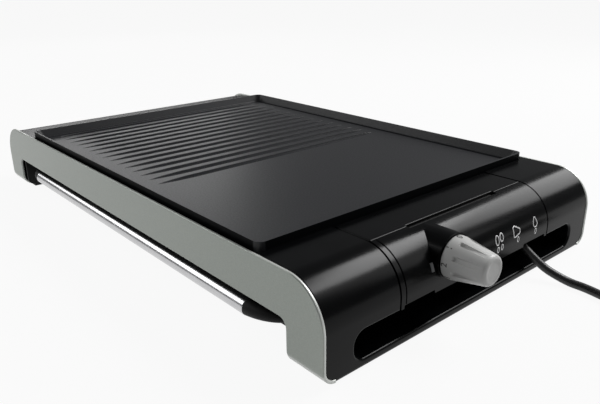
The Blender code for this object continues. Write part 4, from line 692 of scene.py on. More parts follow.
# %% Front base
base = turned_copy(frame["nodes"]["front_base_plate"], "front_base", Matrix())
clean(base)
BASE_LOW, BASE_HIGH = box("front_base_plate")
WALL_END, WALL_SETBACK = PANEL_HIGH.x - LEG_LENGTH + SEAT, 0.0060
for side in (-1, 1):
    ends = sorted((side * (BASE_HIGH.y - WALL_SETBACK), side * (BASE_HIGH.y + CLEAR)))
    carve_box(
        base,
        (BASE_LOW.x - CLEAR, ends[0], BASE_LOW.z - CLEAR),
        (WALL_END, ends[1], BASE_HIGH.z + CLEAR),
    )
settle(base, "body", matt_black, ["front_base_plate"], (0.0004, 2))

# %% [markdown]
# ## Control unit
#
# Its fascia carries on the housing's round, a seam's width away on both sides, with a second fine line
# just inside the near seam. A round boss stands out of the curve for the knob. A low strip on the deck
# completes it, and both give way to a finger slit in the middle.

# %% Fascia
FASCIA_TOP, FASCIA_LAP = FRONT_HIGH.z, 0.004
SHOULDER, SHOULDER_WIDTH, SHOULDER_DEPTH = 0.0042, 0.0013, 0.0015
BOSS_FRONT_X, BOSS_RADIUS, BOSS_WALL = FASCIA_HIGH.x, 0.0177, 0.0023
BOSS_LENGTH, BOSS_ROOM = 0.028, 0.035
SHAFT_HOLE = 0.0046
SLIT_NOTCH, SLIT_NOTCH_HALF, SLIT_NOTCH_DEPTH, SLIT_NOTCH_ROUND = 0.0021, 0.055, 0.006, 0.0011
TAB_NOTCH, TAB_NOTCH_ROUND = 0.0026, 0.0012
TAB_START, TAB_END = 0.0030, 0.0360        # counted from the fascia's side


def fascia():
    deep = FRONT_X - COVER_ROUND - FASCIA_LAP
    skin = block("fascia", (deep, -CONTROL_HALF, FASCIA_LOW.z), (FRONT_X, CONTROL_HALF, FASCIA_TOP))
    with editing(skin):
        bevel_where(edge_at(1, z=FASCIA_TOP, x=FRONT_X), COVER_ROUND, 32)
        slice_at(FASCIA_LOW.x, Vector((1, 0, 0)), clear_inner=True)
        pick("FACE", open_face)
        bpy.ops.mesh.delete(type="FACE")
        lines = [SHOULDER + SHOULDER_WIDTH * share - CONTROL_HALF for share in (0, 0.5, 1)]
        for y in lines:
            slice_at(y, Vector((0, 1, 0)))
        pick("VERT", lambda v: near(v.co.y, lines[1]))
        bpy.ops.transform.shrink_fatten(value=-SHOULDER_DEPTH)
    clean(skin)
    give_a_wall(skin)
    boss_start = (BOSS_FRONT_X - BOSS_LENGTH, KNOB_Y, KNOB_Z)
    carve(skin, drum("boss", boss_start, BOSS_RADIUS, BOSS_LENGTH, 72), "UNION")
    room_end = BOSS_FRONT_X - BOSS_WALL
    room_start, hole_start = (room_end - BOSS_ROOM, KNOB_Y, KNOB_Z), (room_end - CLEAR, KNOB_Y, KNOB_Z)
    carve(skin, drum("boss_room", room_start, BOSS_RADIUS - BOSS_WALL, BOSS_ROOM, 64))
    carve(skin, drum("shaft_hole", hole_start, SHAFT_HOLE, 2 * CLEAR, 32))
    carve_box(
        skin,
        (FASCIA_LOW.x - CLEAR, -SLIT_NOTCH_HALF, FASCIA_TOP - SLIT_NOTCH_DEPTH),
        (FASCIA_LOW.x + SLIT_NOTCH, SLIT_NOTCH_HALF, FASCIA_TOP + CLEAR),
    )
    tab_z = FASCIA_LOW.z + TAB_NOTCH
    for side in (-1, 1):
        ends = sorted((side * (CONTROL_HALF - TAB_START), side * (CONTROL_HALF - TAB_END)))
        carve_box(
            skin,
            (FRONT_X - CLEAR, ends[0], FASCIA_LOW.z - CLEAR),
            (FRONT_X + CLEAR, ends[1], tab_z),
            (edge_at(0, z=tab_z), TAB_NOTCH_ROUND, 4),
        )
    lens_low, lens_high = box("pilot_lens")
    carve_box(
        skin,
        (FRONT_X - CLEAR, lens_low.y - SEAT, lens_low.z - SEAT),
        (FRONT_X + CLEAR, lens_high.y + SEAT, lens_high.z + SEAT),
    )
    settle(skin, "control_unit", gloss_black, ["control_fascia"], (0.0007, 3))


fascia()

# %% Deck strip behind the slit
strip_low, strip_high = box("control_top_strip")
strip = block("deck_strip", strip_low, strip_high)
notch_x = strip_high.x - SLIT_NOTCH
carve_box(
    strip,
    (notch_x, -SLIT_NOTCH_HALF, strip_low.z - CLEAR),
    (strip_high.x + CLEAR, SLIT_NOTCH_HALF, strip_high.z + CLEAR),
    (edge_at(2, x=notch_x), SLIT_NOTCH_ROUND, 5),
)
settle(strip, "control_unit", gloss_black, ["control_top_strip"], (0.0009, 3))

# %% [markdown]
# ## Knob
#
# The knob is a moulded cone on a short straight collar, silver lacquered, with eight finger flutes that
# run out towards the nose. The collar and cone are one drum whose front is extruded and drawn in. One
# flute cutter is modelled, wedge-shaped at its start, and copied round the axis.

# %% Knob
KNOB_RADIUS = (KNOB_HIGH.z - KNOB_LOW.z) / 2
KNOB_NOSE_RADIUS = 0.0112
KNOB_BASE_ROUND, KNOB_NOSE_ROUND = 0.0012, 0.0026
NOSE_BAND, NOSE_STEP, NOSE_SINK = 0.0012, 0.0004, 0.0003
COLLAR = 0.0042
FLUTES = 8
FLUTE_HALF, FLUTE_DEPTH, FLUTE_ROUND, FLUTE_REACH = 0.0018, 0.0024, 0.0009, 0.002
FLUTE_START, FLUTE_LENGTH, FLUTE_RAMP = 0.0066, 0.0212, 0.0026
BORE_START, BORE_RADIUS, BORE_LENGTH = 0.001, 0.0033, 0.0173
knob_axis = Vector((KNOB_LOW.x, KNOB_Y, KNOB_Z))


def about_the_knob(angle):
    """A turn about the knob's own axis."""
    place = Matrix.Translation(knob_axis)
    return place @ Matrix.Rotation(angle, 4, "X") @ place.inverted()


def knob_body():
    grip = drum("knob_grip", knob_axis, KNOB_RADIUS, COLLAR, 96)
    cone = KNOB_HIGH.x - KNOB_LOW.x - COLLAR
    with editing(grip):
        pick("FACE", faces_along(0, 1))
        extrude(cone, 0, 0)
        pick("VERT", lambda v: near(v.co.x, KNOB_HIGH.x))
        share = KNOB_NOSE_RADIUS / KNOB_RADIUS
        bpy.ops.transform.resize(value=(1, share, share), center_override=knob_axis)
        bevel_where(lambda e: near(middle(e).x, KNOB_LOW.x) and not runs(e, 0), KNOB_BASE_ROUND, 4)
        bevel_where(lambda e: all(near(v.co.x, KNOB_HIGH.x) for v in e.verts), KNOB_NOSE_ROUND, 8)
        pick("FACE", lambda f: len(f.verts) > 4 and f.normal.x > 0.99)
        inset(NOSE_BAND)
        inset(NOSE_STEP, -NOSE_SINK)
    slope = (KNOB_RADIUS - KNOB_NOSE_RADIUS) / cone
    start_x = KNOB_LOW.x + FLUTE_START
    top = KNOB_Z + KNOB_RADIUS + FLUTE_REACH
    floor = KNOB_Z + KNOB_RADIUS - slope * (FLUTE_START - COLLAR) - FLUTE_DEPTH
    flute = block(
        "flute",
        (start_x, KNOB_Y - FLUTE_HALF, floor),
        (start_x + FLUTE_LENGTH, KNOB_Y + FLUTE_HALF, top),
    )
    with editing(flute):
        pick("VERT", lambda v: v.co.x > start_x + SEAT and v.co.z < top - SEAT)
        fall = slope * FLUTE_LENGTH - FLUTE_DEPTH
        bpy.ops.transform.translate(value=(0, 0, -fall))
        pick("VERT", lambda v: v.co.x < start_x + SEAT and v.co.z < top - SEAT)
        bpy.ops.transform.translate(value=(FLUTE_RAMP, 0, 0))
        low_edge = lambda e: middle(e).z < top - 2 * SEAT and not runs(e, 1) and not runs(e, 2)
        bevel_where(low_edge, FLUTE_ROUND, 5)
    cutters = [
        turned_copy(flute, f"flute_{index}", about_the_knob(math.tau * (index + 0.5) / FLUTES))
        for index in range(FLUTES)
    ]
    bpy.data.objects.remove(flute, do_unlink=True)
    carve(grip, joined("flutes", cutters))
    carve(grip, drum("shaft_bore", knob_axis - Vector((BORE_START, 0, 0)), BORE_RADIUS, BORE_LENGTH, 32))
    settle(grip, "knob", satin_silver, ["knob"], (0.0002, 2, 50))


knob_body()

# %% [markdown]
# ## Cooking plate
#
# The plate is a casting: a low rim, a sloping wall, a shallow gutter round the floor, and fifteen
# grooves on the rear half that run out to points. All the levels come from insets of one top face. The
# groove cutter is a bar whose ends are drawn out to points, and it is copied at the groove's pitch.

# %% Plate levels
PLATE_CORNER = 0.006
RIM, SLOPE = 0.0020, 0.0028
SKIRT_WALL, SKIRT, SKIRT_SLOPE = 0.0060, 0.0016, 0.0003
FLOOR_Z = PLATE_HIGH.z - DISH
GUTTER_EDGE, GUTTER_SIDE, GUTTER_FLAT, GUTTER_DEPTH = 0.0004, 0.0014, 0.0027, 0.0012
GROOVES, PITCH, FIRST = 15, 0.0162, 0.0170
GROOVE_HALF, GROOVE_DEPTH = 0.0047, 0.0032
GROOVE_RUN, GROOVE_TIP, TIP_LIFT = 0.103, 0.139, 0.0003
TIP_STEPS = ((0.45, 0.80), (0.35, 0.42), (0.20, 0.06))        # share of the length, size at its end
DRAIN_SLOTS, DRAIN_HALF, DRAIN_WIDTH, DRAIN_ROUND = 4, 0.012, 0.0050, 0.0024
PROBE_NOTCH_HALF = 0.0038


def groove_bar(name, x):
    """A round bar sunk by the groove's depth, with long pointed ends."""
    radius = (GROOVE_HALF**2 + GROOVE_DEPTH**2) / (2 * GROOVE_DEPTH)
    height = FLOOR_Z + radius - GROOVE_DEPTH
    bar = drum(name, (x, -GROOVE_RUN, height), radius, 2 * GROOVE_RUN, 40, "Y")
    taper = GROOVE_TIP - GROOVE_RUN
    with editing(bar):
        for side in (-1, 1):
            end_y, tip = GROOVE_RUN, 1.0
            for share, size in TIP_STEPS:
                pick("FACE", lambda f: near(abs(middle(f).y), end_y) and side * f.normal.y > 0.9)
                extrude(0, side * taper * share, 0)
                factor = size / tip
                centre = (x, side * end_y, FLOOR_Z + TIP_LIFT)
                bpy.ops.transform.resize(value=(factor, 1, factor), center_override=centre)
                end_y, tip = end_y + taper * share, size
    return bar


def cooking_plate():
    plate = block("cooking_plate", PLATE_LOW, PLATE_HIGH)
    with editing(plate):
        pick("FACE", faces_along(2, 1))
        gutter = ((GUTTER_SIDE, -GUTTER_DEPTH), (GUTTER_FLAT, 0), (GUTTER_SIDE, GUTTER_DEPTH))
        for thickness, depth in ((RIM, 0), (SLOPE, -DISH), (GUTTER_EDGE, 0), *gutter):
            inset(thickness, depth)
        pick("FACE", faces_along(2, -1))
        inset(SKIRT_WALL)
        inset(SKIRT_SLOPE, -SKIRT)
        bevel_where(lambda e: not runs(e, 0) and not runs(e, 1), PLATE_CORNER, 8)
    carve_box(
        plate,
        (PLATE_HIGH.x - SKIRT_WALL * 2, KNOB_Y - PROBE_NOTCH_HALF, PLATE_LOW.z - CLEAR),
        (PLATE_HIGH.x + CLEAR, KNOB_Y + PROBE_NOTCH_HALF, PLATE_LOW.z + SKIRT - SEAT),
    )
    places = [PLATE_LOW.x + FIRST + index * PITCH for index in range(GROOVES)]
    carve(plate, joined("grooves", [groove_bar(f"groove_{index}", x) for index, x in enumerate(places)]))
    slots = []
    for x in places[: -DRAIN_SLOTS - 1 : -1]:
        slot = block(
            "drain_slot",
            (x - DRAIN_WIDTH / 2, -DRAIN_HALF, PLATE_LOW.z - CLEAR),
            (x + DRAIN_WIDTH / 2, DRAIN_HALF, FLOOR_Z + CLEAR),
        )
        with editing(slot):
            bevel_where(edge_at(2), DRAIN_ROUND, 8)
        slots.append(slot)
    carve(plate, joined("drains", slots))
    settle(plate, "plate", non_stick, ["grill_plate"], (0.0005, 3, 25), angle=45)


cooking_plate()

# %% [markdown]
# ## Tray handle
#
# A chrome bar with two black ends that bend back to the tray. The bar is a drum with rounded rims. Each
# end is a curve whose points carry their own thickness, so it tapers as it bends, and it is made a mesh
# once the bend is right.

# %% Handle
BAR_LOW, BAR_HIGH = box("handle_bar")
BAR_RADIUS, BAR_RIM_ROUND = 0.0064, 0.0005
BAR_Y, BAR_Z = PANEL_LOW.y + BAR_RADIUS, BAR_LOW.z + BAR_RADIUS
END_THICK, END_TIP = 0.0064, 0.0029
END_STRAIGHT, END_STEPS = 0.0012, 24

bar = drum("chrome_bar", (BAR_LOW.x, BAR_Y, BAR_Z), BAR_RADIUS, BAR_HIGH.x - BAR_LOW.x, 64)
with editing(bar):
    bevel_where(lambda e: not runs(e, 0), BAR_RIM_ROUND, 3)
settle(bar, "tray", chrome, ["handle_bar"])


# %% [markdown]
# The tray's front is a black rail. It hangs a little below the tray's floor and so closes the view under
# the body. Its lower edge is folded back for stiffness by one extrusion.

# %% Tray rail
RAIL_LOW, RAIL_HIGH = box("tray_front")
RAIL_DROP, RAIL_FOLD, RAIL_FOLD_WALL = 0.0054, 0.0060, 0.0016
rail = block("tray_rail", RAIL_LOW - Vector((0, 0, RAIL_DROP)), RAIL_HIGH)
with editing(rail):
    fold_z = RAIL_LOW.z - RAIL_DROP + RAIL_FOLD_WALL
    slice_at(fold_z, Vector((0, 0, 1)))
    pick("FACE", lambda f: f.normal.y > 0.99 and middle(f).z < fold_z)
    extrude(0, RAIL_FOLD, 0)
settle(rail, "tray", matt_black, ["tray_front"], (0.0006, 3))


# %% Ends of the handle
def wire(name, points, radius, sides, radii=None):
    """A curve through points, with a round bevel."""
    curve = bpy.data.curves.new(name, "CURVE")
    curve.dimensions = "3D"
    curve.bevel_depth = radius
    curve.bevel_resolution = sides
    curve.use_fill_caps = True
    spline = curve.splines.new("POLY")
    spline.points.add(len(points) - 1)
    for index, point in enumerate(points):
        spline.points[index].co = (*point, 1)
        spline.points[index].radius = 1 if radii is None else radii[index] / radius
    piece = bpy.data.objects.new(name, curve)
    bpy.context.scene.collection.objects.link(piece)
    return piece


def handle_end(name, node, side):
    box_low, box_high = box(node)
    start_x = box_low.x if side > 0 else box_high.x
    reach = box_high.x - box_low.x - END_TIP
    back_y = RAIL_LOW.y - SEAT
    bend = back_y - END_STRAIGHT - BAR_Y
    points, radii = [], []
    for step in range(END_STEPS + 1):
        angle = math.radians(90) * step / END_STEPS
        x = start_x + side * reach * math.sin(angle)
        points.append((x, BAR_Y + bend * (1 - math.cos(angle)), BAR_Z))
        radii.append(END_THICK - (END_THICK - END_TIP) * math.sin(angle))
    points.append((start_x + side * reach, back_y, BAR_Z))
    radii.append(END_TIP)
    piece = as_mesh(wire(name, points, END_THICK, 10, radii))
    settle(piece, "tray", matt_black, [node], (0.0005, 3, 50))


handle_end("handle_cap_front", "handle_end_front", 1)
handle_end("handle_cap_rear", "handle_end_rear", -1)

# %% [markdown]
# ### Printed marks
#
# Three plain white marks sit on the fascia, each over small ovals, and the knob carries dark numerals
# round its foot. A mark is a closed line laid on the fascia's round and sunk so far that only a thin
# print stands out. A numeral is text, made a mesh, bent round the knob and turned to its place.

# %% White marks on the fascia
MARK_LINE, MARK_SINK, MARK_STEP = 0.00068, 0.00044, 0.0006
OVAL_POINTS = 20


def on_the_fascia(y, z):
    """The point of the fascia's skin at this width and height."""
    past = max(0, z - (FASCIA_TOP - COVER_ROUND))
    x = FRONT_X - COVER_ROUND + math.sqrt(COVER_ROUND**2 - past**2)
    return Vector((x - MARK_SINK, y, z))


def mark_line(name, outline):
    """A closed line through (y, z) points, as a mesh."""
    line = wire(name, [on_the_fascia(y, z) for y, z in outline], MARK_LINE, 2)
    line.data.splines[0].use_cyclic_u = True
    return as_mesh(line)


def oval(y, z, half_wide=0.0013, half_high=0.0021, lobe=0.0):
    """Points of an oval, a small one unless told otherwise; a lobe draws its top out to a drop."""
    points = []
    for index in range(OVAL_POINTS):
        angle = math.tau * index / OVAL_POINTS
        lift = lobe * max(0, math.sin(angle)) ** 4
        points.append((y + half_wide * math.cos(angle), z + half_high * math.sin(angle) + lift))
    return points


def filled_in(corners):
    """Closely set points along a closed outline with corners."""
    points = []
    for start, end in zip(corners, corners[1:] + corners[:1]):
        count = max(1, round(math.dist(start, end) / MARK_STEP))
        points += [tuple(a + (b - a) * index / count for a, b in zip(start, end)) for index in range(count)]
    return points


sail = [(0.0424, 0.0428), (0.0426, 0.0502), (0.0450, 0.0510)]
sail += [(0.0518, 0.0474), (0.0516, 0.0446), (0.0450, 0.0424)]
outlines = [
    oval(0.0196, 0.0465, 0.0022, 0.0037),
    oval(0.0256, 0.0475, 0.0022, 0.0031),
    oval(0.0204, 0.0388),
    oval(0.0258, 0.0396),
    filled_in(sail),
    oval(0.0486, 0.0395),
    oval(0.0747, 0.0458, 0.0029, 0.0027, lobe=0.0026),
    oval(0.0750, 0.0394),
]
lines = [mark_line(f"mark_{index}", outline) for index, outline in enumerate(outlines)]
settle(joined("fascia_marks", lines), "control_unit", mark_white)


# %% Numerals round the knob's foot
NUMERAL_HIGH, NUMERAL_PLACE = 0.0066, 0.0037
NUMERAL_THICK, NUMERAL_WIDEN = 0.00012, 0.00006


def on_the_knob(across, past, lift):
    """The point over the knob's skin at a width and a distance from its foot."""
    share = max(0, past - COLLAR) / (KNOB_HIGH.x - KNOB_LOW.x - COLLAR)
    radius = KNOB_RADIUS - (KNOB_RADIUS - KNOB_NOSE_RADIUS) * share + lift
    angle = across / KNOB_RADIUS
    return knob_axis + Vector((past, radius * math.sin(angle), radius * math.cos(angle)))


numerals = []
for index in range(FLUTES):
    choose()
    bpy.ops.object.text_add()
    letter = bpy.context.object.data
    letter.body, letter.size = str(index), NUMERAL_HIGH
    letter.extrude, letter.offset = NUMERAL_THICK, NUMERAL_WIDEN
    letter.align_x, letter.align_y = "CENTER", "CENTER"
    numeral = as_mesh(bpy.context.object)
    for corner in numeral.data.vertices:
        corner.co = on_the_knob(corner.co.x, NUMERAL_PLACE - corner.co.y, corner.co.z)
    numeral.data.transform(about_the_knob(math.tau * index / FLUTES))
    numerals.append(numeral)
settle(joined("knob_numerals", numerals), "knob", mark_dark)

# %% [markdown]
# ## Mains cord
#
# The lead leaves a short strain relief under the control unit, bends down to the table and runs out of
# the picture. The rest of its 1.8 metres is wound in a neat coil beside the view, with the plug next to
# it. A cord is one long curve with a round bevel, so it keeps its thickness in every bend.

# %% Route of the cord
CORD_RADIUS = 0.0035
CORD_SLOPE = math.radians(35)
CORD_LEAD = 0.0080
CORD_Y = sum(corner.y for corner in box("strain_relief")) / 2
RELIEF_TIP = Vector((PANEL_HIGH.x - 0.0115, CORD_Y, BODY_TOP - 0.0460))
COIL_RADIUS, COIL_PITCH, COIL_STEPS = 0.0520, 0.0076, 48
COIL_TURNS_IN, COIL_CLIMB, COIL_TURNS_OUT = 3.0, 0.5, 2.75
COIL_LEAD = 0.0025
COIL_CENTRE = Vector((RELIEF_TIP.x + 0.1325, CORD_Y - 0.0020 + COIL_RADIUS, CORD_RADIUS + 0.0008 + SEAT))
PLUG_RADIUS = 0.0185
PLUG_START = Vector((COIL_CENTRE.x + 0.0030, COIL_CENTRE.y + 0.0785, PLUG_RADIUS + SEAT))
REST_Z = CORD_RADIUS + SEAT / 2


def relief_axis(distance):
    """A point on the cord's way out, measured back from the strain relief's tip."""
    back = Vector((-math.cos(CORD_SLOPE), 0, math.sin(CORD_SLOPE)))
    return RELIEF_TIP + back * distance


def smooth_route(points, step):
    """Points about a step apart on a smooth curve through the route's own points."""
    points = [Vector(point) for point in points]
    ends = [points[0] * 2 - points[1], *points, points[-1] * 2 - points[-2]]
    found = []
    for before, start, end, after in zip(ends, ends[1:], ends[2:], ends[3:]):
        pieces = max(1, round((end - start).length / step))
        for index in range(pieces):
            t = index / pieces
            curved = (2 * before - 5 * start + 4 * end - after) * t**2
            twisted = (3 * start - before - 3 * end + after) * t**3
            found.append(0.5 * (2 * start + (end - before) * t + curved + twisted))
    return found + [points[-1]]


def ease(share):
    """A share of a climb that starts and ends level."""
    return share * share * (3 - 2 * share)


def coil_points():
    """A flat spiral in, a half turn that climbs one layer, and a spiral out on top of it."""
    points = []
    inner = COIL_RADIUS - COIL_PITCH * COIL_TURNS_IN
    for step in range(round((COIL_TURNS_IN + COIL_CLIMB + COIL_TURNS_OUT) * COIL_STEPS) + 1):
        turns = step / COIL_STEPS
        if turns <= COIL_TURNS_IN:
            radius, height = COIL_RADIUS - COIL_PITCH * turns, 0
        elif turns <= COIL_TURNS_IN + COIL_CLIMB:
            past = turns - COIL_TURNS_IN
            radius = inner - COIL_PITCH * min(past, COIL_CLIMB - past)
            height = COIL_PITCH * ease(past / COIL_CLIMB)
        else:
            radius, height = inner + COIL_PITCH * (turns - COIL_TURNS_IN - COIL_CLIMB), COIL_PITCH
        angle = math.radians(-90) + turns * math.tau
        points.append(COIL_CENTRE + Vector((radius * math.cos(angle), radius * math.sin(angle), height)))
    return [points[0] - Vector((COIL_LEAD, 0, 0)), *points, points[-1] + Vector((0, COIL_LEAD, 0))]


coil = coil_points()
free_stretch = [(0.0145, 0.0008, 0.0155), (0.0235, 0.0023, 0.0098), (0.0335, 0.0040, 0.0060)]
free_stretch += [(0.0445, 0.0051, REST_Z), (0.0555, 0.0049, REST_Z), (0.0675, 0.0032, REST_Z)]
free_stretch += [(0.0815, 0.0006, REST_Z), (0.0955, -0.0012, REST_Z)]
free_stretch += [(0.1095, -0.0019, COIL_CENTRE.z), (0.1215, -0.0020, COIL_CENTRE.z)]
loose_end = [(0.0512, 0.0215, 0.0094), (0.0518, 0.0335, 0.0052), (0.0490, 0.0465, REST_Z)]
loose_end += [(0.0425, 0.0585, 0.0050), (0.0325, 0.0687, 0.0100), (0.0215, 0.0755, 0.0160)]
cord_exit = relief_axis(-SEAT)
way_out = [cord_exit, relief_axis(-CORD_LEAD)]
way_out += [(RELIEF_TIP.x + x, CORD_Y + y, z) for x, y, z in free_stretch]
way_out += [coil[0] - Vector((SEAT, 0, 0))]
way_back = [coil[-1] + Vector((0, SEAT, 0)), coil[-1] + Vector((0, SEAT + CORD_LEAD, 0))]
way_back += [(COIL_CENTRE.x + x, COIL_CENTRE.y + y, z) for x, y, z in loose_end]
way_back += [PLUG_START + Vector((CORD_LEAD, 0, 0)), PLUG_START + Vector((SEAT, 0, 0))]
route = smooth_route(way_out, CORD_RADIUS) + coil + smooth_route(way_back, CORD_RADIUS)
cord_length = sum((b - a).length for a, b in zip(route, route[1:]))
print("cord:", len(route), "points,", round(cord_length, 4), "m")

mains_cord = wire("mains_cord", route, CORD_RADIUS, 5)
mains_cord.data.materials.append(cord_sheath)
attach(mains_cord, "control_unit")
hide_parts("cord", "cord_coil", "cord_tail")

# %% [markdown]
# The strain relief is a ribbed rubber cone. A drum is drawn out along its axis ring by ring, and every
# second ring is sunk a little. It is modelled upright and then leaned along the cord's way out.

# %% Strain relief
RELIEF_LENGTH, RELIEF_RIBS, RELIEF_SINK = 0.0220, 7, 0.0005
RELIEF_TIP_RADIUS, RELIEF_ROOT_RADIUS = 0.0042, 0.0052
RELIEF_FLANGE_RADIUS, RELIEF_FLANGE = 0.0066, 0.0018


def ringed(name, rings, sides=40):
    """A body of rings (height, radius) along z, extruded one after another from a drum."""
    (first_z, radius), (height, second_radius) = rings[:2]
    body = drum(name, (0, 0, first_z), radius, height - first_z, sides, "Z")
    with editing(body):
        pick("VERT", lambda v: near(v.co.z, height))
        for next_z, next_radius in ((height, second_radius), *rings[2:]):
            if next_z > height:
                pick("FACE", lambda f: near(middle(f).z, height) and abs(f.normal.z) > 0.99)
                extrude(0, 0, next_z - height)
            factor = next_radius / radius
            bpy.ops.transform.resize(value=(factor, factor, 1), center_override=(0, 0, next_z))
            height, radius = next_z, next_radius
    return body


def stand(piece, place, way):
    """Put a piece that was modelled upright at a place, leaning along a way."""
    lean = Vector(way).to_track_quat("Z", "Y").to_matrix().to_4x4()
    piece.data.transform(Matrix.Translation(place) @ lean)


def relief_rings():
    rings = [(0, RELIEF_TIP_RADIUS)]
    neck = RELIEF_LENGTH - RELIEF_FLANGE
    for index in range(RELIEF_RIBS):
        start, pitch = index * neck / RELIEF_RIBS, neck / RELIEF_RIBS
        for share, sink in ((0.45, 0), (0.55, RELIEF_SINK), (0.90, RELIEF_SINK), (0.999, 0)):
            height = start + pitch * share
            skin = RELIEF_TIP_RADIUS + (RELIEF_ROOT_RADIUS - RELIEF_TIP_RADIUS) * height / neck
            rings.append((height, skin - sink))
    return rings + [(neck, RELIEF_FLANGE_RADIUS), (RELIEF_LENGTH, RELIEF_FLANGE_RADIUS)]


strain_relief = ringed("strain_relief_ribbed", relief_rings())
stand(strain_relief, RELIEF_TIP, relief_axis(RELIEF_LENGTH) - RELIEF_TIP)
settle(strain_relief, "control_unit", rubber, ["strain_relief"], (0.00012, 2, 40))

# %% [markdown]
# The plug is a round moulded body with a ribbed sleeve and two pins. A strap holds the coil.

# %% Plug and pins
PLUG_LENGTH, PLUG_ROUND, PIN_ROUND = 0.0480, 0.0012, 0.7        # the last as a share of a pin's radius
SLEEVE_RADIUS, SLEEVE_GROWTH, SLEEVE_RIBS, SLEEVE_PITCH = 0.0046, 0.0004, 5, 0.0034


def plug_rings():
    """Rings of the ribbed sleeve, then those of the body (height, radius)."""
    rings = [(0, SLEEVE_RADIUS)]
    for index in range(SLEEVE_RIBS):
        start = index * SLEEVE_PITCH
        radius = SLEEVE_RADIUS + SLEEVE_GROWTH * index
        rings += [(start + 0.0016, radius + 0.0003), (start + 0.0020, radius - 0.0004)]
        rings += [(start + 0.0032, radius)]
    rings += [(0.0184, 0.0078), (0.0204, 0.0092), (0.0260, 0.0116), (0.0310, 0.0148), (0.0336, 0.0160)]
    rings += [(0.0362, 0.0181), (0.0370, PLUG_RADIUS)]
    return rings + [(PLUG_LENGTH - PLUG_ROUND, PLUG_RADIUS), (PLUG_LENGTH, PLUG_RADIUS - PLUG_ROUND)]


plug = ringed("mains_plug", plug_rings(), 56)
stand(plug, PLUG_START, (-1, 0, 0))
settle(plug, "control_unit", rubber, ["plug"], (0.0003, 2, 40))

for index in (1, 2):
    node = f"plug_pin_{index}"
    pin_low, pin_high = box(node)
    radius = (pin_high.z - pin_low.z) / 2
    start = (pin_low.x, (pin_low.y + pin_high.y) / 2, (pin_low.z + pin_high.z) / 2)
    pin = drum(f"pin_{index}", start, radius, pin_high.x - pin_low.x, 32)
    with editing(pin):
        bevel_where(lambda e: near(middle(e).x, pin_low.x) and not runs(e, 0), radius * PIN_ROUND, 5)
    settle(pin, "control_unit", chrome, [node])

# %% Strap round the coil
TIE_WALL, TIE_HALF, TIE_ANGLE = 0.0008, 0.0040, math.radians(200)
tie_inner = COIL_RADIUS - COIL_PITCH * (COIL_TURNS_IN + COIL_CLIMB) - CORD_RADIUS - SEAT
tie_outer = COIL_RADIUS + CORD_RADIUS + SEAT
tie_low, tie_high = COIL_CENTRE.z - CORD_RADIUS - SEAT, COIL_CENTRE.z + COIL_PITCH + CORD_RADIUS + SEAT
strap = block(
    "coil_strap",
    (tie_inner - TIE_WALL, -TIE_HALF, tie_low - TIE_WALL),
    (tie_outer + TIE_WALL, TIE_HALF, tie_high + TIE_WALL),
)
with editing(strap):
    bevel_where(edge_at(1), CORD_RADIUS / 2 + TIE_WALL, 6)
hollow = (edge_at(1), CORD_RADIUS / 2, 6)
carve_box(strap, (tie_inner, -2 * CLEAR, tie_low), (tie_outer, 2 * CLEAR, tie_high), hollow)
to_the_coil = Matrix.Translation((COIL_CENTRE.x, COIL_CENTRE.y, 0))
strap.data.transform(to_the_coil @ Matrix.Rotation(TIE_ANGLE, 4, "Z"))
settle(strap, "control_unit", cord_sheath, ["cord_tie"], (0.00015, 2, 50))

# %% [markdown]
# ## Finishes for the solids that stay
#
# The pieces that are mostly hidden keep the frame's own solids and only take a finish.

# %% Finishes on the frame's nodes
def four(name, rows=("front", "rear")):
    return [f"{name}_{row}_{side}" for row in rows for side in ("near", "far")]


KEPT = {
    matt_black: ["rear_base_plate", "inner_tub", "tray_runner_front", "tray_runner_rear"]
    + ["control_back", "cord_clamp"],
    sheet_steel: ["heat_shield", "drip_tray", "element_flange", "thermostat_bracket", "knob_shaft"]
    + four("base_screw")
    + four("element_clip", (1, 2)),
    sheath_steel: ["heating_element"],
    brass: ["terminal_pin_near", "terminal_pin_far", "thermostat_probe"],
    ceramic: ["thermostat_body", "socket_block"],
    rubber: four("foot") + four("plate_rest"),
    pale_lens: ["pilot_lens", "pilot_lamp"],
}
for surface, nodes in KEPT.items():
    for node in nodes:
        for material_slot in frame["nodes"][node].material_slots:
            material_slot.material = surface
print("solids kept:", sum(len(nodes) for nodes in KEPT.values()))

# %% [markdown]
# ## Floor and light
#
# A wide pale floor runs out of the picture on all sides. It glows where it is seen, directly or in a
# mirror, but hardly lights the grill. Gloss black shows its lamps as bands, so three soft boxes stand
# behind the grill: a high and a low one draw the band of light along the rounded end, and a weak one
# lets it fade towards the foot. A low one beyond the rear end gives the plate its sheen, a wide one on
# the near side lights the panel and the bar, and a grey world fills in.

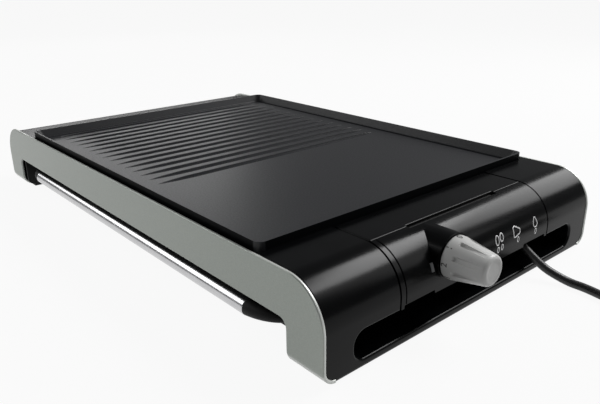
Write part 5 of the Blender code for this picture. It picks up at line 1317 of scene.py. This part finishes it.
# %% Floor
GROUND_Z, GROUND_SIZE, GROUND_GLOW = -0.0002, 200, 0.93
bpy.ops.mesh.primitive_plane_add(size=GROUND_SIZE, location=(0, 0, GROUND_Z))
floor = named("floor")
floor_paint = finish_named("floor_pale", 0.9, Base_Color=(0.50, 0.50, 0.50, 1), Specular_IOR_Level=0.0)
floor_nodes, floor_links = floor_paint.node_tree.nodes, floor_paint.node_tree.links
glow = floor_nodes.new("ShaderNodeEmission")
paths = floor_nodes.new("ShaderNodeLightPath").outputs
seen = worked_out(floor_paint, "MAXIMUM", paths["Is Camera Ray"], paths["Is Glossy Ray"])
seen = worked_out(floor_paint, "MAXIMUM", seen, paths["Is Transmission Ray"])
blend = floor_nodes.new("ShaderNodeMixShader")
floor_links.new(worked_out(floor_paint, "MULTIPLY", seen, GROUND_GLOW), blend.inputs["Fac"])
floor_links.new(floor_nodes["Principled BSDF"].outputs["BSDF"], blend.inputs[1])
floor_links.new(glow.outputs["Emission"], blend.inputs[2])
floor_links.new(blend.outputs["Shader"], floor_nodes["Material Output"].inputs["Surface"])
floor.data.materials.append(floor_paint)


# %% Lights
def soft_box(name, place, aim, width, height, power):
    """A rectangular lamp of so many watts, aimed at a point."""
    lamp = bpy.data.lights.new(name, "AREA")
    lamp.shape = "RECTANGLE"
    lamp.size, lamp.size_y = width, height
    lamp.energy = power
    fixture = bpy.data.objects.new(name, lamp)
    fixture.location = place
    fixture.rotation_euler = (Vector(aim) - Vector(place)).to_track_quat("-Z", "Y").to_euler()
    bpy.context.scene.collection.objects.link(fixture)
    print(name, power, "W")


CONTROL_END = (0.25, 0, 0.05)
soft_box("band_light_high", (0.52, 1.32, 1.62), CONTROL_END, 1.15, 0.58, 31)
soft_box("band_light_low", (0.38, 1.44, 0.92), CONTROL_END, 0.9, 0.63, 9.5)
soft_box("fading_light", (1.22, 1.20, 1.05), CONTROL_END, 0.4, 1.0, 2.2)
soft_box("plate_light", (-1.9, 0.75, 0.70), (-0.1, 0, 0.07), 0.9, 0.34, 3.1)
soft_box("bar_light", (-1.45, -1.00, 0.98), (0, -0.15, 0.04), 1.3, 0.9, 11)

world = bpy.data.worlds.new("studio")
world.use_nodes = True
world.node_tree.nodes["Background"].inputs["Color"].default_value = (0.16, 0.162, 0.164, 1)
bpy.context.scene.world = world
bpy.context.scene.view_settings.view_transform = "Standard"
